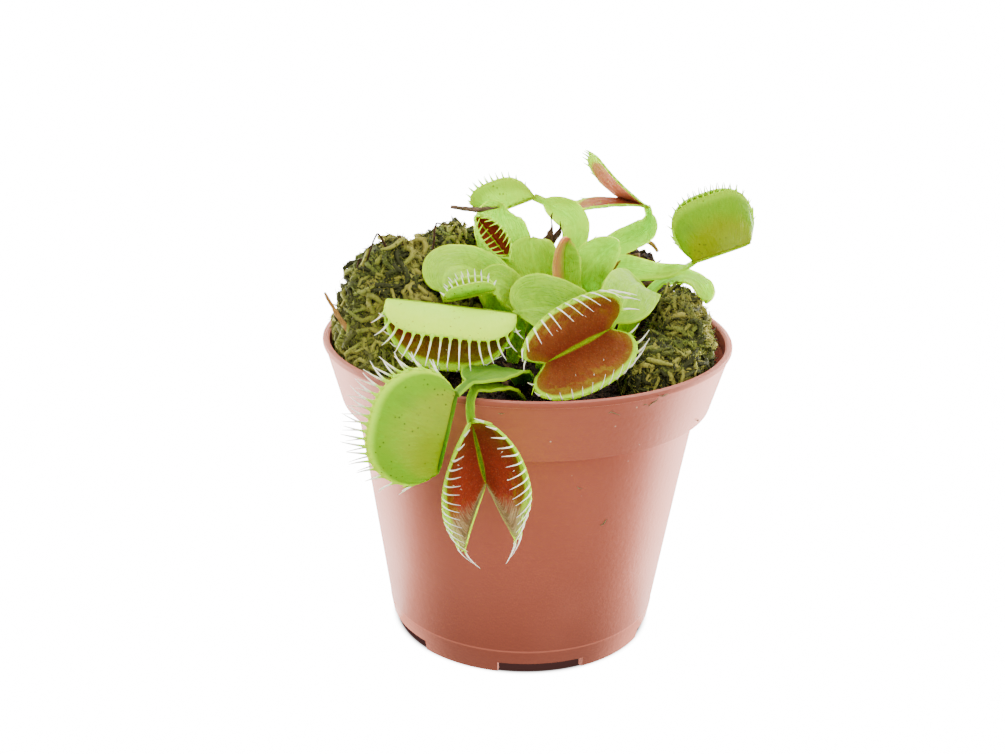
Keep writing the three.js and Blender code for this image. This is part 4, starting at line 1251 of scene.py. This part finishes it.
def winged_stalk(patches, leaf, stations=72, columns=17):
    """The flat stalk with its rib: rows from the base to the end, columns from edge to edge."""
    t = 1 - (1 - np.linspace(0, 1, stations)) ** 1.3
    w = np.linspace(-1, 1, columns)[None, :]
    middle = bezier(leaf["path"], t)
    along = unit(np.gradient(middle, t, axis=0, edge_order=2))
    facing = unit(leaf["up"])
    normal = unit(facing - along * (along @ facing)[:, None])
    across = np.cross(along, normal)
    half = stalk_half_width(leaf, t)[:, None]
    t = t[:, None]
    fold = math.radians(leaf["fold"])
    room = np.minimum(half / 3, 1)   # narrow stretches ripple less
    ripple = leaf.get("wave", 0.5) * w * w * room * np.sin(
        5 * np.pi * t + np.where(w < 0, 0, 1.9))
    crimp = 0.1 * w ** 4 * room * np.sin(17 * np.pi * t + 3 * w)
    grid = (middle[:, None] + across[:, None] * (w * half * math.cos(fold))[..., None]
            + normal[:, None] * (abs(w) * half * math.sin(fold) + ripple + crimp)[..., None])
    rib = np.exp(-(w * half / 0.55) ** 2)
    thickness = BLADE_THICKNESS + (RIB_THICKNESS - BLADE_THICKNESS) * rib
    patches.sheet(grid, thickness, (0, 0), np.stack(np.broadcast_arrays(t, (w + 1) / 2), -1))


class Lobe:
    """One lobe of a trap. u runs along the hinge from -1 to 1, v from it to the margin."""

    def __init__(self, start, trap, own, sign):
        vars(self).update({**TRAP, **trap, **trap.get(own, {})})
        self.start, self.sign = np.asarray(start, dtype=float), sign
        self.along = unit(trap["hinge"])
        out = np.asarray(trap["mouth"], dtype=float)
        self.out = unit(out - self.along * (out @ self.along))
        self.side = np.cross(self.along, self.out)

    def at(self, u, v):
        """Points of the lobe."""
        bulge = math.radians(self.bulge)
        angle = math.radians(self.gape) / 2 - math.radians(LOBE_CUP) * u * u
        angle = angle + math.radians(self.splay) * u
        rounding = np.sqrt(np.maximum(1 - abs(u) ** 7, 0.01))
        deep = self.deep * (1 - self.drop * abs(u) ** self.square)
        deep = deep * rounding * (1 - self.taper * np.maximum(u, 0) ** 2)
        bend = angle + bulge * (1 - 2 * v)
        outward = (np.sin(angle + bulge) - np.sin(bend)) / (2 * bulge) * deep
        sideways = (np.cos(bend) - np.cos(angle + bulge)) / (2 * bulge) * deep
        spread = v * rounding
        run = 0.5 + 0.5 * u * (1 + self.flare * spread) + self.lean * spread
        tip = np.exp(-((u - TIP_PLACE) / TIP_SPREAD) ** 2)
        run = self.long * (run + self.point * spread * tip)
        return (self.start + self.along * run[..., None] + self.out * outward[..., None]
                + self.side * (self.sign * sideways)[..., None])

    def blade(self, patches, slots):
        """The lobe itself, a little thinner at the margin, its flesh slightly pillowed."""
        u, v = np.meshgrid(np.linspace(-1, 1, 57), np.linspace(0, 1, 19), indexing="ij")
        grid = self.at(u, v)
        pillow = uneven(u * self.long, v * self.deep * 2, 1.7, self.deep) * PILLOW
        grid = grid + normals_of(grid) * (pillow * np.sin(np.pi * v))[..., None]
        patches.sheet(grid, LOBE_THICKNESS * (1 - 0.2 * v), slots,
                      np.stack([(u + 1) / 2, v], -1))

    def tooth_bed(self, draw):
        """Where each tooth stands, how it bends and how broad its web is."""
        count = self.teeth
        u = np.linspace(-1, self.last, count) * (1 - 1 / count)
        edge = np.ones(count)
        root = self.at(u, edge)
        straight = unit(root - self.at(u, edge * 0.9))
        turn_in = math.radians(self.gape / 2 - self.bulge - self.inward)
        fan = 0.5 * u * (1 + abs(u)) + draw.normal(0, 0.05, count)
        aim = unit(self.out * math.cos(turn_in) + self.side * self.sign * math.sin(turn_in)
                   + self.along * fan[:, None])
        fade = np.where(u < 0, TRAP["fade"], self.fade) * u * u
        length = (self.tooth * (1 - fade) * draw.uniform(0.88, 1.06, count))[:, None]
        margin = (self.at(u + 1 / count, edge) - self.at(u - 1 / count, edge)) / 2
        broad = np.linalg.norm(margin, axis=-1, keepdims=True)
        margin = margin / broad
        long_tooth = self.tooth >= LONG_TOOTH
        tip = (0.2 * straight + 0.8 * aim if long_tooth else 0.5 * (straight + aim)) * length
        bend = straight * length * (0.45 if long_tooth and self.inward < 50 else 0.3)
        girth = TOOTH_GIRTH if long_tooth else SMALL_TOOTH_GIRTH
        return {"root": root - TOOTH_ROOT * straight, "bend": bend, "tip": tip,
                "web": margin * np.maximum(broad * 0.98 - girth, 0.05), "side": margin * girth,
                "thick": unit(np.cross(margin, straight)) * 0.3}

    def hair_bed(self):
        """Three short stiff hairs that stand inside the lobe."""
        u = np.array([-0.3, 0.0, 0.3])
        v = np.array([0.5, 0.66, 0.5])
        root = self.at(u, v)
        beside = self.at(u + 0.02, v) - root
        above = self.at(u, v + 0.02) - root
        inward = unit(np.cross(beside, above)) * -self.sign
        thin = unit(beside) * 0.1
        return {"root": root, "bend": inward * 0.3, "tip": inward * 0.7, "web": thin * 1.5,
                "side": thin, "thick": unit(above) * 0.1}


def tooth_growth(material):
    """Grows a tooth on each seed: broad and webbed at its root, bent, with a fine tip."""
    growth = Growth("teeth", Sharpness="Float")

    def vector(name):
        return growth.out("GeometryNodeInputNamedAttribute", {"data_type": "FLOAT_VECTOR"},
                          Name=name)

    blank = growth.out("GeometryNodeMeshCylinder", Vertices=8, Side_Segments=11, Radius=1.0,
                       Depth=1.0)
    blank = growth.store(blank, "own", growth.out("GeometryNodeInputPosition"), "FLOAT_VECTOR")
    stand = growth.out("GeometryNodeInstanceOnPoints", Points=growth.given["Geometry"],
                       Instance=blank)
    x, y, z = growth.split(vector("own"))
    share = (z + 0.5).clipped()
    real = growth.store(growth.out("GeometryNodeRealizeInstances", Geometry=stand), "reach",
                        share)
    web = (1 - (share * 4.6).clipped()) ** 2
    taper = 1 - share ** growth.number("Sharpness") * 0.82
    place = vector("root")
    for name, amount in (("bend", share * (1 - share) * 2), ("tip", share * share),
                         ("web", x * web), ("side", x * taper), ("thick", y * taper)):
        place = growth.out("ShaderNodeVectorMath", {"operation": "MULTIPLY_ADD"},
                           {0: vector(name), 1: amount, 2: place})
    growth.finish(growth.out("GeometryNodeSetPosition", Geometry=real, Position=place), material)
    return growth


def tooth_mesh(growth, name, beds):
    """The teeth of one trap, grown from the beds of its lobes."""
    rows = {part: np.concatenate([bed[part] for bed in beds]) * MM for part in beds[0]}
    rows["root"] += POT_AXIS
    seeds = new_mesh(name, rows["root"])
    for part, values in rows.items():
        seeds.attributes.new(part, "FLOAT_VECTOR", "POINT").data.foreach_set(
            "vector", values.ravel())
    grown = growth.run(seeds, Sharpness=TOOTH_SHARPNESS)
    for part in (*rows, "own"):
        grown.attributes.remove(grown.attributes[part])
    return grown


def trap_finishes(look, settings):
    """The materials of a trap's inside and outside."""
    told = LOOKS[look]

    def tint(key, other=None):
        return tuple(getattr(settings, told[key])) if key in told else other

    amounts = {key: told[key] for key in ("rim", "start", "withered") if key in told}
    return [lobe_inside_finish("trap_inside_" + look, settings, tint("flesh"), tint("far"),
                               **amounts),
            lobe_outside_finish("trap_outside_" + look, settings, tint("back"), tint("outer"),
                                tint("edge", tuple(settings.lime)), tint("blot"))]


def make_leaves(settings):
    teeth = {tip: tooth_growth(tooth_finish("tooth_" + tip, settings.lime,
                                            getattr(settings, tip)))
             for tip in ("cream", "lime", "pale")}
    dry = bark_finish("withered_leaf", *WITHERED)
    blades, traps = {}, {}
    for index, leaf in enumerate(LEAVES):
        name = "flytrap_" + leaf["name"]
        key = tone, edge = leaf.get("tone", 0), leaf.get("edge")
        if key not in blades:
            blades[key] = blade_finish(f"blade_{len(blades)}", settings, tone,
                                       getattr(settings, edge) if edge else None)
        patches = Patchwork()
        winged_stalk(patches, leaf)
        materials, meshes = [blades[key]], []
        if "trap" in leaf:
            trap, look = leaf["trap"], leaf["look"]
            if look not in traps:
                traps[look] = trap_finishes(look, settings)
            materials += traps[look]
            draw = np.random.default_rng(40 + index)
            beds = []
            for sign, own, slots in ((-1, "first", (1, 2)), (1, "second", (2, 1))):
                lobe = Lobe(leaf["path"][3], trap, own, sign)
                lobe.blade(patches, slots)
                beds.append(lobe.tooth_bed(draw))
                if lobe.deep > HAIRY_LOBE:
                    beds.append(lobe.hair_bed())
            share = np.linspace(-0.8, trap["long"] + 0.2, 16)[:, None]
            patches.tube(lobe.start + lobe.along * share,
                         0.55 * (1 - 0.5 * np.linspace(-1, 1, 16) ** 8), 12)
            growth = teeth[LOOKS[look].get("teeth", "cream")]
            meshes.append(tooth_mesh(growth, name + "_teeth", beds))
        if "withered" in leaf:
            s = np.linspace(0, 1, 18)
            path = along_path(leaf["withered"], s)
            path[:, 1] += 0.4 * np.sin(s * 9)
            materials.append(dry)
            patches.tube(path, np.interp(s, (0, 0.5, 1), (0.3, 0.55, 0.35)), 10, 1, ridge=0.3)
        meshes.insert(0, patches.mesh(name, materials, angle=50))
        settle(joined(name, meshes), ["leaf_" + leaf["name"]], "leaf")


# ---------------------------------------------------------------- stage

def aimed(thing, place, target, roll=0.0):
    """Puts a light or the camera at a place, looking at the target."""
    look = (Vector(target) - Vector(place)).to_track_quat("-Z", "Y")
    turn = look.to_matrix() @ Matrix.Rotation(roll, 3, "Z")
    thing.matrix_world = Matrix.Translation(place) @ turn.to_4x4()


def glow(name, low, high, near, far):
    """White that shines by itself, as strong as high, but only low under the pot's foot, where it
    is a painted shadow.
    """
    finish = Finish(name, Base_Color=(0, 0, 0, 1), Specular_IOR_Level=0.0,
                    Emission_Strength=high)
    centred = finish.out("ShaderNodeVectorMath", {"operation": "SUBTRACT"},
                         {0: finish.place, 1: tuple(POT_AXIS)})
    away = finish.node("ShaderNodeVectorMath", {"operation": "LENGTH"}, {0: centred})
    # painted shadow: the floor stays low within near of the pot's axis and turns white by far
    lit = Wire(finish, away.outputs["Value"]).step(near, far)
    return finish.set(Emission_Color=finish.blend(lit, low, (1, 1, 1)))


def half_room(name, side, materials):
    """Half of a white dome with its floor, before the plant (-1) or behind it (1)."""
    around = np.linspace(0, np.pi * side, 33)
    up = np.linspace(0, np.pi / 2, 17)[:, None]
    points = np.stack(np.broadcast_arrays(np.cos(around) * np.cos(up), np.sin(around) * np.cos(up),
                                          np.sin(up)), -1) * ROOM_RADIUS
    corner = grid_of(len(up), len(around))
    walls = squares(corner)
    half = new_object(name, new_mesh(name, points.reshape(-1, 3), [corner[0].tolist(), *walls],
                                     materials, [0] + [1] * len(walls)))
    half.visible_diffuse = False
    half.visible_shadow = False
    return half


def make_stage(settings):
    """A white floor with a painted shadow under the pot, a white backdrop, soft light from all
    round and a camera before the plant.
    """
    scene = bpy.context.scene
    white = settings.backdrop
    materials = (glow("white_floor", UNDER_POT_SHADOW, white, *UNDER_POT_SHADOW_EDGE),
                 glow("white_backdrop", (1, 1, 1), white, 0, 1))
    half_room("room_before", -1, materials).visible_glossy = False
    half_room("room_behind", 1, materials)
    target = POT_AXIS + np.array(LOOKED_AT) * MM
    back = settings.distance * np.array([0, -math.cos(settings.elevation),
                                         math.sin(settings.elevation)])
    film = bpy.data.cameras.new("camera")
    film.lens = settings.lens
    film.clip_start = 0.01
    scene.camera = new_object("camera", film)
    aimed(scene.camera, target + back, target, settings.roll)
    world = bpy.data.worlds.new("soft_light")
    world.use_nodes = True
    sky = world.node_tree.nodes["Background"].inputs
    sky["Color"].default_value = (1, 1, 1, 1)
    sky["Strength"].default_value = settings.soft_light
    scene.world = world
    for name, (place, size, energy) in LAMPS.items():
        light = bpy.data.lights.new(name, "AREA")
        light.size = size
        light.energy = energy * settings.lamps
        aimed(new_object(name, light), place, target)


# ---------------------------------------------------------------- operators

class FLYTRAP_OT_pot(bpy.types.Operator):
    """Turns the pot and cuts its drainage"""

    bl_idname = "flytrap.pot"
    bl_label = "Turn the pot"

    def execute(self, context):
        make_pot(context.scene.flytrap_pot)
        make_pot_litter()
        return {"FINISHED"}


class FLYTRAP_OT_peat(bpy.types.Operator):
    """Fills the pot with crumbled peat"""

    bl_idname = "flytrap.peat"
    bl_label = "Fill with peat"

    def execute(self, context):
        make_peat(context.scene.flytrap_moss)
        return {"FINISHED"}


class FLYTRAP_OT_moss(bpy.types.Operator):
    """Grows the two cushions of moss"""

    bl_idname = "flytrap.moss"
    bl_label = "Grow the moss"

    def execute(self, context):
        settings = context.scene.flytrap_moss
        # the left cushion takes painted light low down
        make_moss("moss_cushion_left", "moss_left", MOSS_LEFT, settings,
                  moss_finish("bleached_moss", settings, 0.6))
        make_moss("moss_cushion_right", "moss_right", MOSS_RIGHT, settings,
                  moss_finish("matted_moss", settings))
        return {"FINISHED"}


class FLYTRAP_OT_litter(bpy.types.Operator):
    """Lays the twig, the stick and the dead leaf"""

    bl_idname = "flytrap.litter"
    bl_label = "Lay the litter"

    def execute(self, context):
        make_litter()
        return {"FINISHED"}


class FLYTRAP_OT_leaves(bpy.types.Operator):
    """Grows the leaves and their toothed traps"""

    bl_idname = "flytrap.leaves"
    bl_label = "Grow the leaves"

    def execute(self, context):
        make_leaves(context.scene.flytrap_leaves)
        return {"FINISHED"}


class FLYTRAP_OT_stage(bpy.types.Operator):
    """Sets the floor, the lights and the camera"""

    bl_idname = "flytrap.stage"
    bl_label = "Set the stage"

    def execute(self, context):
        make_stage(context.scene.flytrap_stage)
        return {"FINISHED"}


OPERATORS = (FLYTRAP_OT_pot, FLYTRAP_OT_peat, FLYTRAP_OT_moss, FLYTRAP_OT_litter,
             FLYTRAP_OT_leaves, FLYTRAP_OT_stage)


class FLYTRAP_PT_build(bpy.types.Panel):
    """The steps that build the plant, and what they can be told"""

    bl_label = "Potted Venus flytrap"
    bl_idname = "FLYTRAP_PT_build"
    bl_space_type = "VIEW_3D"
    bl_region_type = "UI"
    bl_category = "Flytrap"

    def draw(self, context):
        for operator in OPERATORS:
            self.layout.operator(operator.bl_idname)
        for name in SETTINGS:
            settings = getattr(context.scene, name)
            box = self.layout.box()
            for key in settings.__annotations__:
                box.prop(settings, key)


CLASSES = (*SETTINGS.values(), *OPERATORS, FLYTRAP_PT_build)


def register():
    for cls in CLASSES:
        bpy.utils.register_class(cls)
    for name, cls in SETTINGS.items():
        setattr(bpy.types.Scene, name, PointerProperty(type=cls))


def unregister():
    for name in SETTINGS:
        delattr(bpy.types.Scene, name)
    for cls in reversed(CLASSES):
        bpy.utils.unregister_class(cls)


def main():
    register()
    bpy.ops.flytrap.stage()
    bpy.ops.flytrap.pot()
    bpy.ops.flytrap.peat()
    bpy.ops.flytrap.moss()
    bpy.ops.flytrap.litter()
    bpy.ops.flytrap.leaves()


if __name__ == "__main__":
    main()
